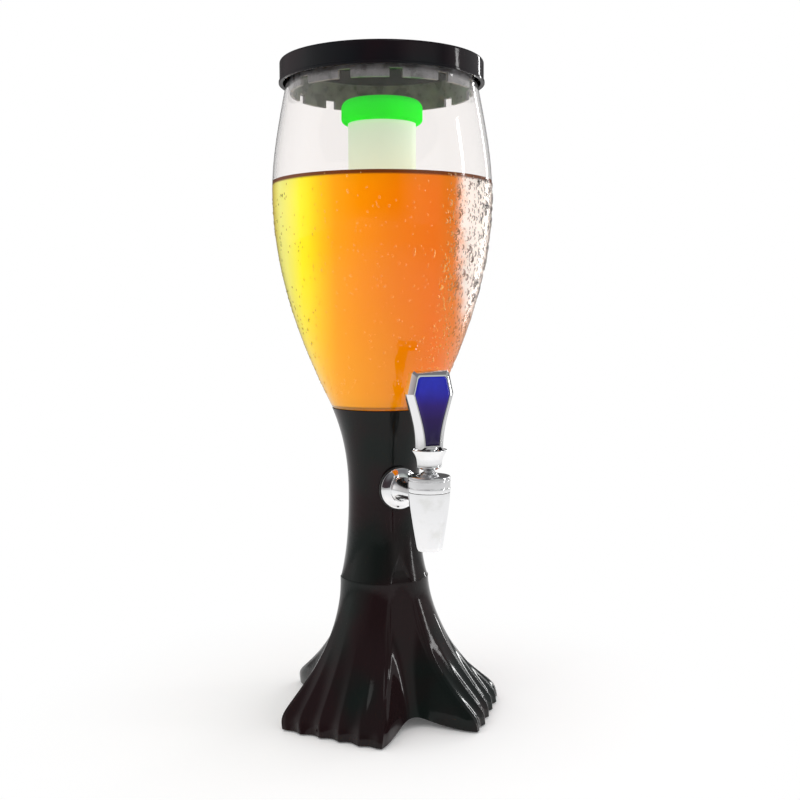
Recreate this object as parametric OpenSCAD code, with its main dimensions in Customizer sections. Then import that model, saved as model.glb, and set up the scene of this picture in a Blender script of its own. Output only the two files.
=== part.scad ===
// Table-top drink tower: clear goblet tank on a three-legged gloss base,
// with a cooling tube inside the tank, a plug lid and a lever tap.
// Millimetres, +Z up. The origin is on the surface it stands on, on the tower's
// axis, and the tap points along -Y.

/* [Base] */
// Radius of the leg corners on the floor
leg_r = 90.5; // [84:0.5:104]
// Height of the skirt's top edge, where the column begins
skirt_h = 103; // [92:1:112]
// Radius of the skirt's top edge
skirt_top_r = 33.5; // [33:0.5:37]
// Half angle of one leg's fluted face at the floor, in degrees
leg_half_deg = 27; // [24:1:34]
// Half angle of one leg's face at the skirt's top, in degrees
leg_top_half_deg = 45; // [42:1:51]
// How far the front legs turn towards the tap on their way down, in degrees
toe_in_deg = 8.5; // [0:0.5:10]
// How far the legs' corners are rounded off at the floor
corner_round = 2.4; // [0:0.2:3]
// Radius of the hollow panel between two legs, at the floor
panel_r = 54; // [48:1:62]
// Radius of the hollow panel between two legs, at the skirt's top
panel_top_r = 31.4; // [31.2:0.1:32.4]
// How far the bottom edge arches up between two legs
arch_h = 7; // [0:0.5:12]
// Flutes on each leg
flutes = 5; // [3:1:7]
// Depth of a flute at the floor
flute_depth = 3; // [0:0.25:4]
// Height above the floor at which the flutes fade out
flute_h = 66; // [40:1:90]
// Wall of the moulded skirt
skirt_wall = 2.8; // [2:0.1:3.6]
// Gap between the skirt's edge and the floor
foot_gap = 1.2; // [0.8:0.1:2]
// Radius of one rubber foot
foot_r = 5.5; // [4:0.25:6.5]

/* [Column] */
// Height of the seam between the column and the tank
seam_z = 231; // [215:1:245]
// Radius of the column at the seam
seam_r = 38.4; // [36:0.2:42]
// Radius of the column's waist
waist_r = 26.6; // [25.6:0.2:30]
// Height of the column's waist
waist_z = 166; // [158:1:172]
// Radius of the column at the skirt
column_foot_r = 33.1; // [31:0.1:33.2]
// Height of the pointed recesses in the column's foot, above each panel
recess_h = 20; // [10:1:26]
// Distance from the axis to the floor of those recesses
recess_out = 28.6; // [28:0.1:29.4]
// Wall of the column
column_wall = 3; // [2.4:0.1:3.4]
// Radius of the spigot that plugs into the skirt
spigot_r = 26.4; // [25.4:0.1:27]
// Length of that spigot
spigot_l = 20; // [14:1:24]
// Depth of the cup's floor below the tap's shank
cup_drop = 15; // [14:0.5:18]
// Radius of the screw circle in the base
screw_ring_r = 19.5; // [19.2:0.1:20]
// Radius of the base screws
screw_r = 2; // [1.5:0.1:2.5]

/* [Tank] */
// Largest radius of the tank
belly_r = 81.3; // [76:0.5:88]
// Distance from the rim down to the largest radius
belly_drop = 91; // [81:1:106]
// Radius of the tank under the lid
mouth_r = 71; // [68:0.5:74]
// Height of the tank's rim
rim_z = 481; // [474:1:490]
// Wall of the tank
tank_wall = 2.4; // [1.8:0.1:3]
// Radius of the threaded neck
neck_r = 28.5; // [27.5:0.1:28.8]
// Length of the threaded neck
neck_l = 17; // [12:1:20]
// Thickness of the tank's shoulder
shoulder_t = 3; // [2.4:0.1:4]
// Thickness of the gasket at the seam
gasket_t = 1.7; // [1.2:0.1:2.4]

/* [Lid] */
// Radius of the lid
lid_r = 75; // [74.6:0.2:80]
// Height of the lid's rim
lid_rim_h = 16.5; // [12:0.5:20]
// How far the rim reaches above the tank's rim
lid_over = 4; // [3:0.5:6]
// Height of the domed crown above the rim's top
lid_crown = 5; // [2:0.5:9]
// Wall of the lid
lid_wall = 2.2; // [1.8:0.1:2.8]
// Length of the plug ring inside the tank's mouth
plug_l = 20; // [14:0.5:24]
// Slots in the plug ring
plug_slots = 12; // [6:1:18]
// Depth of a slot
slot_depth = 6; // [3:0.5:8]

/* [Cooling tube] */
// Radius of the cooling tube
tube_r = 25.1; // [23.5:0.1:25.4]
// Wall of the cooling tube
tube_wall = 2; // [1.5:0.1:2.6]
// Height of the tube's foot above the seam
tube_lift = 9; // [7:0.5:14]
// Distance from the tank's rim down to the light cap's top
cap_drop = 24; // [22:0.5:40]
// Radius of the light cap
cap_r = 30; // [29.4:0.2:34]
// Height of the light cap
cap_h = 17; // [16:0.5:20]
// How far the cap's sleeve reaches down over the tube
cap_sleeve = 5.5; // [4:0.5:8]
// Wall of the light cap
cap_wall = 2.4; // [1.8:0.1:2.8]
// Travel of the light switch
switch_travel = 1; // [0.6:0.1:1.4]

/* [Tap] */
// Height of the tap's shank
tap_z = 173; // [172:0.5:178]
// Distance from the tower's axis to the valve's axis
valve_out = 80; // [76:0.5:90]
// Radius of the shank
shank_r = 7.5; // [6.5:0.1:8]
// Radius of the arm where it meets the valve body
arm_r = 4.8; // [4.6:0.1:5.2]
// Radius of the flow bore
flow_r = 3.4; // [3:0.1:3.6]
// Radius of the escutcheon
plate_r = 15.2; // [13.5:0.1:17]
// Radius of the bonnet
bonnet_r = 14.75; // [14.25:0.05:16]
// Height of the bonnet
bonnet_h = 11.2; // [11:0.1:11.6]
// Height of the lever's pivot above the shank
pivot_up = 12; // [11.8:0.1:12.2]
// Radius of the lever's ball
ball_r = 8; // [7.6:0.1:8.2]
// Radius of the pivot pin
pin_r = 1.5; // [1.2:0.1:1.8]
// Radius of the spout's tip
spout_r = 8.9; // [7.5:0.1:10]
// Distance from the shank down to the spout's tip
spout_drop = 36; // [30:0.5:44]
// Wall of the tap's castings
tap_wall = 1.9; // [1.5:0.1:2.2]
// Pull of the handle, in degrees
pull_deg = 30; // [20:1:30]

/* [Handle] */
// Height of the handle's top above the pivot
handle_up = 77; // [64:1:96]
// Width of the handle at its shoulders
handle_w = 34.6; // [28:0.2:40]
// Width of the handle's top edge
handle_top_w = 27; // [20:0.2:32]
// Width of the handle's neck
neck_w = 18.6; // [14:0.2:19]
// Thickness of the handle
handle_t = 12; // [9:0.2:14]
// Distance from the handle's top edge down to its shoulders
shoulder_drop = 16; // [10:0.5:24]
// Bevel round the handle
bevel = 3; // [1.5:0.1:4]
// Depth of the pocket for the coloured panel
panel_pocket = 1.4; // [1:0.1:2]
// Height of the flared ferrule
ferrule_h = 14; // [12:0.2:18]
// Radius of the ferrule's mouth
ferrule_r = 12.4; // [12:0.1:15]

/* [Fits] */
// Clearance where a piece turns or slides in a bore
running = 0.05; // [0.03:0.01:0.08]
// Clearance between pieces that are put together by hand
loose = 0.3; // [0.25:0.05:0.4]

/* [Hidden] */
fine = 128;
legs = 3;
sector = 360 / legs;

// A point on a cubic curve, and a run of such points.
function bez(a, b, c, d, t) =
    a * pow(1 - t, 3) + b * 3 * t * pow(1 - t, 2) + c * 3 * t * t * (1 - t) + d * t * t * t;
function curve(a, b, c, d, n) = [for (i = [0:n]) bez(a, b, c, d, i / n)];
function flip(list) = [for (i = [len(list) - 1:-1:0]) list[i]];

// A solid through equal rings of points. Rings run anticlockwise seen from the
// far end of the stack; a looped stack closes on itself and makes a shell.
module loft(rings, looped = false) {
    n = len(rings[0]);
    m = len(rings);
    stack = looped ? m : m - 1;
    sides = [
        for (k = [0:stack - 1])
            for (i = [0:n - 1])
                let (a = k * n, b = ((k + 1) % m) * n, j = (i + 1) % n)
                    each [[a + i, b + i, b + j], [a + i, b + j, a + j]]
    ];
    caps = looped ? [] : [[for (i = [0:n - 1]) i], [for (i = [n - 1:-1:0]) (m - 1) * n + i]];
    polyhedron([for (r = rings) each r], concat(sides, caps), convexity = 8);
}

module ring(r_in, r_out, z0, z1) {
    translate([0, 0, z0])
        difference() {
            cylinder(r = r_out, h = z1 - z0, $fn = fine);
            translate([0, 0, -1])
                cylinder(r = r_in, h = z1 - z0 + 2, $fn = fine);
        }
}

module round_copies(n, r, start = 0) {
    for (i = [0:n - 1])
        rotate([0, 0, start + i * 360 / n])
            translate([r, 0, 0])
                children();
}

// ---------------------------------------------------------------- base skirt
// The skirt is a loft. t runs from 1 at the floor to 0 at the skirt's top, and
// the leg corners, the middle of the leg faces and the panels between them each
// flare by their own law. The legs' flare is over a little above the floor, so
// that they end in an upright lip. The first leg stands opposite the tap.
flare = 2.35;
face_flare = 1.75;
toe_lip = 1.08;
panel_flare = 1.4;
toe_in = [0, toe_in_deg, -toe_in_deg, 0];
ring_steps = [0, 0.035, 0.075, 0.13, 0.21, 0.29, 0.38, 0.48, 0.59, 0.71, 0.84, 0.96];
shoulder_round = 0.4;
flute_points = 4;
panel_points = 10;
side_slope = 2.4;

function leg_turn(leg, t) = 90 + leg * sector + toe_in[leg] * t;
function corner_at(t) = skirt_top_r + (leg_r - skirt_top_r) * pow(min(1, t * toe_lip), flare);
function middle_at(t) =
    let (foot = (leg_r + corner_round) * cos(leg_half_deg))
        skirt_top_r + (foot - skirt_top_r) * pow(min(1, t * toe_lip), face_flare);
function panel_at(t) = panel_top_r + (panel_r - panel_top_r) * pow(t, panel_flare);
function half_at(t) = leg_top_half_deg + (leg_half_deg - leg_top_half_deg) * t;
function flute_at(t) = flute_depth * pow(max(0, 1 - (1 - t) * skirt_h / flute_h), 1.2);

// Leg face: an arc at the top that straightens towards the floor, with flutes.
// Its two corner points are pulled in, so that the corner is blunt.
function face_r(t, turn, half, cut) =
    let (
        blunt = corner_round * t,
        bow = (cos(turn) - cos(half)) / (1 - cos(half)),
        wave = cut > 0 ? 1 : abs(sin(180 * flutes * (turn + half) / (2 * half)))
    )
        corner_at(t) + blunt + (middle_at(t) - corner_at(t) - blunt) * bow - cut
        - flute_at(t) * wave - (abs(turn) > half - 0.01 ? blunt : 0);
// Panel: a steep side at the leg's corner that eases into a shallow hollow.
function panel_point_r(t, q, cut) =
    let (top = corner_at(t) - cut - (cut > 0 ? flute_at(t) : 0))
        top + (panel_at(t) - cut - top) * (1 - pow(1 - q, side_slope));

function skirt_z(t, q) =
    let (low = foot_gap + arch_h * pow(sin(90 * q), 2))
        low + (1 - t) * (skirt_h - low);

function skirt_ring(t, cut, top_cut = 0) = [
    for (leg = [0:legs - 1])
        let (
            mid = leg_turn(leg, t),
            gap = leg_turn(leg + 1, t) - mid,
            half = half_at(t) - (cut > 0 ? asin(cut / corner_at(t)) : 0),
            n = flutes * flute_points
        )
            each concat(
                [for (i = [0:n])
                    let (turn = -half + 2 * half * i / n, r = face_r(t, turn, half, cut) - top_cut)
                        [r * cos(mid + turn), r * sin(mid + turn), skirt_z(t, 0)]],
                [for (i = [1:panel_points - 1])
                    let (
                        turn = half + (gap - 2 * half) * i / panel_points,
                        q = 1 - abs(2 * i / panel_points - 1),
                        r = panel_point_r(t, q, cut) - top_cut
                    )
                        [r * cos(mid + turn), r * sin(mid + turn), skirt_z(t, q)]]
            )
];

module skirt_shell() {
    outer = [for (s = ring_steps) skirt_ring(1 - s, 0)];
    shoulder = [[for (p = skirt_ring(0, 0, shoulder_round)) [p[0], p[1], skirt_h]]];
    inner = [for (s = flip(ring_steps)) skirt_ring(1 - s, skirt_wall)];
    inner_top = [[for (p = skirt_ring(0, skirt_wall)) [p[0], p[1], skirt_h]]];
    loft(concat(outer, shoulder, inner_top, inner), looped = true);
}

web_t = 4;
boss_h = 6;
foot_t = 2.2;
screw_l = 15;
screw_head_r = 3.9;
screw_head_h = 2.6;
web_z = skirt_h - spigot_l - web_t;
// Each foot's boss grows out of the leg's inner wall, behind a ridge.
foot_bite = 1.9;
foot_turn = leg_half_deg * (1 - 2 / flutes);
foot_level = 1 - boss_h / (skirt_h - foot_gap);
foot_ring_r = face_r(foot_level, foot_turn, half_at(foot_level), skirt_wall)
    - foot_r - 1 + foot_bite;

module foot_places() {
    for (leg = [0:legs - 1])
        for (side = [-1, 1])
            rotate([0, 0, leg_turn(leg, 1) + side * foot_turn])
                translate([foot_ring_r, 0, 0])
                    children();
}

module base_skirt() {
    color([0.05, 0.05, 0.06])
        difference() {
            union() {
                skirt_shell();
                ring(spigot_r + loose, spigot_r + 4.4, web_z, skirt_h);
                translate([0, 0, web_z])
                    cylinder(r = spigot_r + 2, h = web_t, $fn = fine);
                foot_places()
                    translate([0, 0, foot_gap])
                        cylinder(r = foot_r + 1, h = boss_h, $fn = 48);
            }
            round_copies(legs, screw_ring_r, 90)
                translate([0, 0, web_z - 1])
                    cylinder(r = screw_r + loose, h = web_t + 2, $fn = 32);
            foot_places()
                translate([0, 0, -1])
                    cylinder(r = foot_r, h = foot_t + 1, $fn = 48);
        }
}

module foot_pads() {
    color([0.12, 0.12, 0.12])
        foot_places()
            cylinder(r = foot_r - 0.05, h = foot_t, $fn = 48);
}

module base_screws() {
    color("silver")
        round_copies(legs, screw_ring_r, 90)
            translate([0, 0, web_z])
                difference() {
                    union() {
                        translate([0, 0, -screw_head_h])
                            cylinder(r = screw_head_r, h = screw_head_h, $fn = 48);
                        cylinder(r = screw_r, h = screw_l, $fn = 32);
                    }
                    translate([-screw_head_r, -0.5, -screw_head_h - 1])
                        cube([2 * screw_head_r, 1, 2]);
                }
}

// -------------------------------------------------------------------- column
// The column is turned. Its upper part is a cup that the drink runs into, and
// the tap is bolted through the cup's wall between two flat bosses.
waist_pull = 32;
boss_r = plate_r - 1.2;
boss_proud = 0.9;
inner_boss_r = 12.2;
inner_proud = 3.1;
shank_hole_r = shank_r + 0.2;
cup_floor_t = 3;
screw_boss_r = 4.6;
screw_boss_up = 0.5;
gasket_in = neck_r + 1.6;
gasket_out = seam_r - 3.6;
edge = 0.5;

column_curve = concat(
    curve([column_foot_r, skirt_h], [column_foot_r - 3.5, skirt_h + 9],
        [waist_r, waist_z - 30], [waist_r, waist_z], 12),
    curve([waist_r, waist_z], [waist_r, waist_z + waist_pull],
        [seam_r - 5.4, seam_z - 14], [seam_r, seam_z - edge], 14)
);
column_table = [for (p = column_curve) [p[1], p[0]]];
function column_at(z) = lookup(z, column_table);

cup_floor_z = tap_z - cup_drop;
boss_out = max(column_at(tap_z - boss_r), column_at(tap_z + boss_r)) + boss_proud;
inner_face = column_at(tap_z) - column_wall - inner_proud;

module turned(points) {
    rotate_extrude($fn = fine)
        polygon(points);
}

// Lays a piece out along the tap's axis: its +Z points away from the tower.
module along_tap(out = 0) {
    translate([0, -out, tap_z])
        rotate([90, 0, 0])
            children();
}

module column_outside() {
    turned(concat(
        [[0, skirt_h - spigot_l], [spigot_r, skirt_h - spigot_l], [spigot_r, skirt_h]],
        column_curve,
        [[seam_r - edge, seam_z], [0, seam_z]]
    ));
}

// The cup's hollow: it follows the outside, but leaves the neck's socket round.
module cup_hollow() {
    step = 6;
    neck_foot = seam_z - neck_l - 1;
    socket_r = neck_r + loose;
    turned(concat(
        [[0, cup_floor_z]],
        [for (z = [cup_floor_z:step:neck_foot]) [min(column_at(z) - column_wall, socket_r), z]],
        [[socket_r, neck_foot], [socket_r, seam_z - gasket_t], [gasket_out, seam_z - gasket_t],
            [gasket_out, seam_z + 1], [0, seam_z + 1]]
    ));
}

module lower_hollow() {
    step = 8;
    top = cup_floor_z - cup_floor_t;
    turned(concat(
        [[0, skirt_h - spigot_l - 1], [spigot_r - column_wall, skirt_h - spigot_l - 1],
            [spigot_r - column_wall, skirt_h + column_wall]],
        [for (z = [skirt_h + step:step:top])
            [min(column_at(z), recess_out + 0.4) - column_wall, z]],
        [[column_at(top) - column_wall, top], [0, top]]
    ));
}

// The panels run on into the column's foot as three pointed recesses.
module foot_recesses() {
    half_w = column_foot_r * sin(sector / 2 - leg_top_half_deg);
    for (panel = [0:legs - 1])
        rotate([0, 0, 30 + panel * sector])
            translate([recess_out, 0, 0])
                rotate([90, 0, 90])
                    linear_extrude(8)
                        polygon([[-half_w, skirt_h], [half_w, skirt_h], [0, skirt_h + recess_h]]);
}

module column() {
    color([0.05, 0.05, 0.06])
        difference() {
            union() {
                difference() {
                    union() {
                        column_outside();
                        along_tap(boss_out - 10)
                            cylinder(r = boss_r, h = 10, $fn = 96);
                    }
                    cup_hollow();
                    lower_hollow();
                }
                along_tap(inner_face)
                    cylinder(r = inner_boss_r, h = column_wall + inner_proud - 1, $fn = 96);
                round_copies(legs, screw_ring_r, 90)
                    translate([0, 0, skirt_h - spigot_l + screw_boss_up])
                        cylinder(r = screw_boss_r, h = spigot_l - screw_boss_up, $fn = 48);
            }
            foot_recesses();
            along_tap(0)
                cylinder(r = shank_hole_r, h = boss_out + 1, $fn = 64);
            round_copies(legs, screw_ring_r, 90)
                translate([0, 0, skirt_h - spigot_l - 1])
                    cylinder(r = screw_r + 0.05, h = spigot_l - 2, $fn = 32);
        }
}

// ---------------------------------------------------------------------- tank
// The tank is a turned shell with an open neck, and three ribs inside its foot
// hold the cooling tube up so that the drink can pass beneath it.
lid_z = rim_z + lid_over - lid_rim_h;
belly_z = rim_z - belly_drop;
neck_in = neck_r - 2.7;
rib_t = 2.6;
tube_foot = seam_z + tube_lift;
bead = 1.1;

tank_curve = concat(
    curve([seam_r, seam_z + edge], [seam_r + 22.6, seam_z + 46], [belly_r, belly_z - 60],
        [belly_r, belly_z], 18),
    curve([belly_r, belly_z], [belly_r, belly_z + 25], [mouth_r + 5, lid_z - 28.5],
        [mouth_r, lid_z - 2.5], 12)
);
tank_table = [for (p = tank_curve) [p[1], p[0]]];
function tank_at(z) = lookup(z, tank_table);

module tank_shell() {
    inside_foot = seam_z + shoulder_t;
    turned(concat(
        [[neck_in, seam_z - neck_l], [neck_r, seam_z - neck_l], [neck_r, seam_z],
            [seam_r - edge, seam_z]],
        tank_curve,
        [[mouth_r, rim_z - 3.4], [mouth_r + bead, rim_z - 2.6], [mouth_r + bead, rim_z - 0.6],
            [mouth_r + 0.4, rim_z], [mouth_r - tank_wall, rim_z]],
        flip([for (p = tank_curve) if (p[1] > inside_foot + 1.5) [p[0] - tank_wall, p[1]]]),
        [[tank_at(inside_foot) - tank_wall - 0.6, inside_foot], [neck_in, inside_foot]]
    ));
}

module tube_rib() {
    stop_r = tube_r + loose;
    rotate([90, 0, 0])
        linear_extrude(rib_t, center = true)
            polygon([
                [tube_r - 6, tube_foot - 3], [tube_r - 6, tube_foot],
                [stop_r, tube_foot], [stop_r, tube_foot + 7], [stop_r + 2, tube_foot + 7.5],
                [tank_at(tube_foot + 1) - 1, tube_foot + 1],
                [tank_at(seam_z + 4) - 1, seam_z + 1.5],
                [neck_in + 1, seam_z + 1.5], [neck_in + 1, seam_z - 9]
            ]);
}

module tank() {
    color([0.95, 0.8, 0.4, 0.5])
        union() {
            tank_shell();
            for (rib = [0:2])
                rotate([0, 0, 30 + 120 * rib])
                    tube_rib();
        }
}

module tank_gasket() {
    color([0.15, 0.15, 0.15])
        ring(gasket_in, gasket_out - 0.1, seam_z - gasket_t, seam_z);
}

// -------------------------------------------------------------- cooling tube
// A closed tube for ice. Its cap is a small lamp: a board with six lights that
// shine down through the cap's floor, three coin cells, a cover and a switch.
seat_gap = 0.2;
tube_round = 3;
cap_top = rim_z - cap_drop;
cap_z = cap_top - cap_h;
tube_top_z = cap_z + cap_sleeve;
cap_floor_z = tube_top_z + 1.4;
cap_floor_t = 1.6;
cap_round = 2.6;
lamp_r = cap_r - cap_wall;
ledge = 1.4;
ledge_h = 2.1;
board_t = 1.2;
board_z = cap_floor_z + cap_floor_t + ledge_h;
board_top = board_z + board_t;
cover_t = 2;
cover_z = cap_top - cover_t;
cover_r = lamp_r + 0.6;
switch_body = 6;
switch_body_h = 0.8;
button_r = 4.4;
button_flange = 1;
button_flange_t = 1;
button_proud = 1.4;
led_r = 1.6;
led_ring_r = 16;
cell_r = 8;
cell_h = 2;
cell_ring_r = 15.5;

function arc(cx, cz, r, a0, a1, n) =
    [for (i = [0:n]) let (a = a0 + (a1 - a0) * i / n) [cx + r * cos(a), cz + r * sin(a)]];

module ice_tube() {
    z0 = tube_foot + seat_gap;
    color([0.75, 1, 0.85])
        turned(concat(
            [[0, z0]],
            arc(tube_r - tube_round, z0 + tube_round, tube_round, -90, 0, 6),
            [[tube_r, tube_top_z], [tube_r - tube_wall, tube_top_z]],
            arc(tube_r - tube_round, z0 + tube_round, tube_round - tube_wall, 0, -90, 4),
            [[0, z0 + tube_wall]]
        ));
}

module cap_gasket() {
    color([0.2, 0.2, 0.2])
        ring(tube_r - tube_wall, tube_r + 0.1, tube_top_z + seat_gap, cap_floor_z);
}

module light_cap() {
    sleeve_r = tube_r + loose;
    ledge_r = lamp_r - ledge;
    color([0.1, 0.9, 0.25])
        turned(concat(
            [[sleeve_r, cap_z]],
            arc(cap_r - cap_round, cap_z + cap_round, cap_round, -90, 0, 6),
            arc(cap_r - cap_round + 1, cap_top - cap_round + 1, cap_round - 1, 0, 90, 5),
            [[cover_r, cap_top], [cover_r, cover_z], [lamp_r, cover_z],
                [lamp_r, board_z], [ledge_r, board_z], [ledge_r, cap_floor_z + cap_floor_t],
                [0, cap_floor_z + cap_floor_t], [0, cap_floor_z], [sleeve_r, cap_floor_z]]
        ));
}

module led_board() {
    color([0.1, 0.35, 0.15])
        union() {
            translate([0, 0, board_z])
                cylinder(r = lamp_r - loose, h = board_t, $fn = 96);
            translate([-switch_body / 2, -switch_body / 2, board_top])
                cube([switch_body, switch_body, switch_body_h]);
        }
}

module leds() {
    color([0.8, 1, 0.8])
        round_copies(6, led_ring_r)
            translate([0, 0, board_z])
                rotate([180, 0, 0])
                    union() {
                        cylinder(r = led_r, h = 0.3, $fn = 32);
                        intersection() {
                            translate([0, 0, 0.2])
                                sphere(r = led_r, $fn = 32);
                            cylinder(r = led_r, h = 2, $fn = 32);
                        }
                    }
}

module battery_cells() {
    color("silver")
        round_copies(3, cell_ring_r, 90)
            translate([0, 0, board_top])
                union() {
                    cylinder(r = cell_r - 0.9, h = 0.4, $fn = 64);
                    translate([0, 0, 0.4])
                        cylinder(r = cell_r, h = cell_h - 0.4, $fn = 64);
                }
}

module battery_clips() {
    strap_w = 3;
    strap_t = 0.4;
    reach = cell_r + 0.3;
    color([0.8, 0.75, 0.5])
        round_copies(3, cell_ring_r, 90)
            translate([0, 0, board_top]) {
                translate([-strap_w / 2, -reach - strap_t, cell_h])
                    cube([strap_w, 2 * (reach + strap_t), strap_t]);
                for (side = [-1, 1])
                    translate([-strap_w / 2, side * (reach + strap_t / 2) - strap_t / 2, 0])
                        cube([strap_w, strap_t, cell_h + strap_t]);
            }
}

module cap_cover() {
    color([0.1, 0.8, 0.25])
        difference() {
            translate([0, 0, cover_z])
                cylinder(r = cover_r - 0.1, h = cover_t, $fn = fine);
            translate([0, 0, cover_z - 1])
                cylinder(r = button_r + running, h = cover_t + 2, $fn = 64);
        }
}

module switch_button() {
    flange_z = board_top + switch_body_h + switch_travel + 0.1;
    flange_top = min(flange_z + button_flange_t, cover_z - seat_gap);
    color([0.85, 0.9, 0.85])
        union() {
            translate([0, 0, flange_z])
                cylinder(r = button_r + button_flange, h = flange_top - flange_z, $fn = 64);
            translate([0, 0, flange_z])
                cylinder(r = button_r, h = cap_top + button_proud - flange_z, $fn = 64);
        }
}

// ----------------------------------------------------------------------- lid
// A turned lid: a rim outside the tank's mouth, and a slotted plug ring inside.
plug_r = mouth_r - tank_wall - 2 * loose;
plug_wall = 2.2;
seal_h = 3;
seal_deep = 1.1;
seal_z = rim_z - 7;
slot_w = 9;
lid_top = lid_z + lid_rim_h;
lid_seat = rim_z + seat_gap;
lip = 0.7;

module lid() {
    inner_flat = plug_r - plug_wall;
    dome_in = inner_flat - 4;
    color([0.03, 0.03, 0.04])
        difference() {
            turned(concat(
                [[lid_r - lid_wall, lid_z], [lid_r + lip, lid_z], [lid_r + lip, lid_z + 1.6],
                    [lid_r, lid_z + 2.4]],
                arc(lid_r - 2, lid_top - 2, 2, 0, 80, 5),
                curve([lid_r - 5, lid_top + 0.3], [lid_r - 30, lid_top + lid_crown * 0.6],
                    [24, lid_top + lid_crown], [0, lid_top + lid_crown], 10),
                flip(curve([dome_in, lid_seat], [lid_r - 34, lid_top + lid_crown * 0.6 - lid_wall],
                    [22, lid_top + lid_crown - lid_wall], [0, lid_top + lid_crown - lid_wall], 10)),
                [[inner_flat, lid_seat], [inner_flat, rim_z - plug_l], [plug_r, rim_z - plug_l],
                    [plug_r, seal_z], [plug_r - seal_deep, seal_z],
                    [plug_r - seal_deep, seal_z + seal_h], [plug_r, seal_z + seal_h],
                    [plug_r, lid_seat], [lid_r - lid_wall, lid_seat]]
            ));
            round_copies(plug_slots, plug_r - plug_wall - 2, 180 / plug_slots)
                translate([0, -slot_w / 2, rim_z - plug_l - 1])
                    cube([plug_wall + 4, slot_w, slot_depth + 1]);
        }
}

module lid_seal() {
    color([0.6, 0.6, 0.6])
        ring(plug_r - seal_deep + 0.05, plug_r + loose, seal_z + 0.1, seal_z + seal_h - 0.1);
}

// ----------------------------------------------------------------------- tap
// The tap's shank goes through the column's wall. A washer on each side and a
// nut in the cup hold it. The lever turns on a cross pin under the bonnet, and
// its peg pushes the valve shaft back off the seat when the handle is pulled.
washer_t = 1.5;
nut_t = 6;
nut_r = 11.4;
plate_t = 4.2;
plate_rim = 1.4;
washer_in_t = 1.5;
plate_out = boss_out + washer_t;
arm_out = plate_out + plate_t;
nut_out = inner_face - washer_in_t;
shank_end = nut_out - nut_t - 2;
peg_r = 2;
peg_neck_r = 1.5;
peg_slack = 0.35;
valve_travel = (pivot_up - 0.1) * sin(pull_deg);
washer_r = 5.4;
valve_washer_t = 2.2;
seat_out = shank_end + valve_travel + valve_washer_t + 0.2;
seat_r = washer_r + 0.6;
rod_r = 1.8;
rod_nut_t = 2.2;
yoke_r = 3.6;
yoke_flat = 2.4;
yoke_half = peg_r + peg_slack + 2;
guide_out = valve_out + yoke_half + 1.6;
guide_end = valve_out + bonnet_r - 1.75;
bonnet_z = tap_z + arm_r + loose;
neck_z = tap_z + pivot_up + 2.2;
pivot_z = tap_z + pivot_up;
neck_out_r = bonnet_r - 2.15;
neck_bore_r = neck_out_r - 2.5;
bonnet_top = bonnet_z + bonnet_h;
seal_ring_z = pivot_z - 6;
seal_ring_t = 2.2;
seal_ring_in = ball_r - 0.6;
spout_z = tap_z - spout_drop;

module valve_place() {
    translate([0, -valve_out, 0])
        children();
}

module tap_outer_washer() {
    color([0.1, 0.1, 0.1])
        along_tap(boss_out)
            difference() {
                cylinder(r = plate_r + 0.7, h = washer_t, $fn = 96);
                translate([0, 0, -1])
                    cylinder(r = shank_hole_r, h = washer_t + 2, $fn = 64);
            }
}

module tap_inner_washer() {
    color([0.1, 0.1, 0.1])
        along_tap(nut_out)
            difference() {
                cylinder(r = inner_boss_r - 0.4, h = washer_in_t, $fn = 96);
                translate([0, 0, -1])
                    cylinder(r = shank_hole_r, h = washer_in_t + 2, $fn = 64);
            }
}

module tap_lock_nut() {
    color([0.85, 0.85, 0.87])
        along_tap(nut_out - nut_t)
            difference() {
                cylinder(r = nut_r, h = nut_t, $fn = 6);
                translate([0, 0, -1])
                    cylinder(r = shank_r + running, h = nut_t + 2, $fn = 64);
            }
}

module tap_escutcheon() {
    bore = shank_r + 0.6;
    color([0.85, 0.85, 0.87])
        along_tap(plate_out)
            turned(concat(
                [[bore, 0], [plate_r, 0], [plate_r, plate_rim]],
                curve([plate_r - 0.6, plate_rim + 0.4], [plate_r - 3, plate_rim + 1.4],
                    [bore + 3.6, plate_t - 0.9], [bore + 1.2, plate_t], 8),
                [[bore, plate_t]]
            ));
}

spout_curve = curve([spout_r, spout_z], [spout_r + 2.6, spout_z + 15],
    [bonnet_r - 0.35, bonnet_z - 10], [bonnet_r - 0.15, bonnet_z], 12);
spout_table = [for (p = spout_curve) [p[1], p[0]]];
function spout_at(z) = lookup(z, spout_table);

module tap_arm() {
    along_tap(0)
        turned([
            [0, shank_end], [shank_r - 0.6, shank_end], [shank_r, shank_end + 0.6],
            [shank_r, arm_out], [shank_r + 1.6, arm_out], [shank_r + 1.6, arm_out + 1.4],
            [shank_r + 0.2, arm_out + 3.2], [(shank_r + arm_r) / 2, arm_out + 13],
            [arm_r, valve_out - 15], [arm_r, valve_out], [0, valve_out]
        ]);
}

module tap_bowl() {
    valve_place()
        turned(concat(
            [[0, spout_z]],
            spout_curve,
            [[neck_out_r, bonnet_z], [neck_out_r, neck_z], [0, neck_z]]
        ));
}

module tap_bowl_hollow() {
    bowl_top = seal_ring_z - 1;
    step = 5;
    valve_place()
        turned(concat(
            [[0, spout_z - 1], [spout_r - tap_wall, spout_z - 1]],
            [for (z = [spout_z:step:tap_z]) [spout_at(z) - tap_wall, z]],
            [[neck_out_r - 1.6, bowl_top], [seal_ring_in, bowl_top],
                [seal_ring_in, seal_ring_z], [neck_bore_r, seal_ring_z],
                [neck_bore_r, neck_z + 1], [0, neck_z + 1]]
        ));
}

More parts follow.
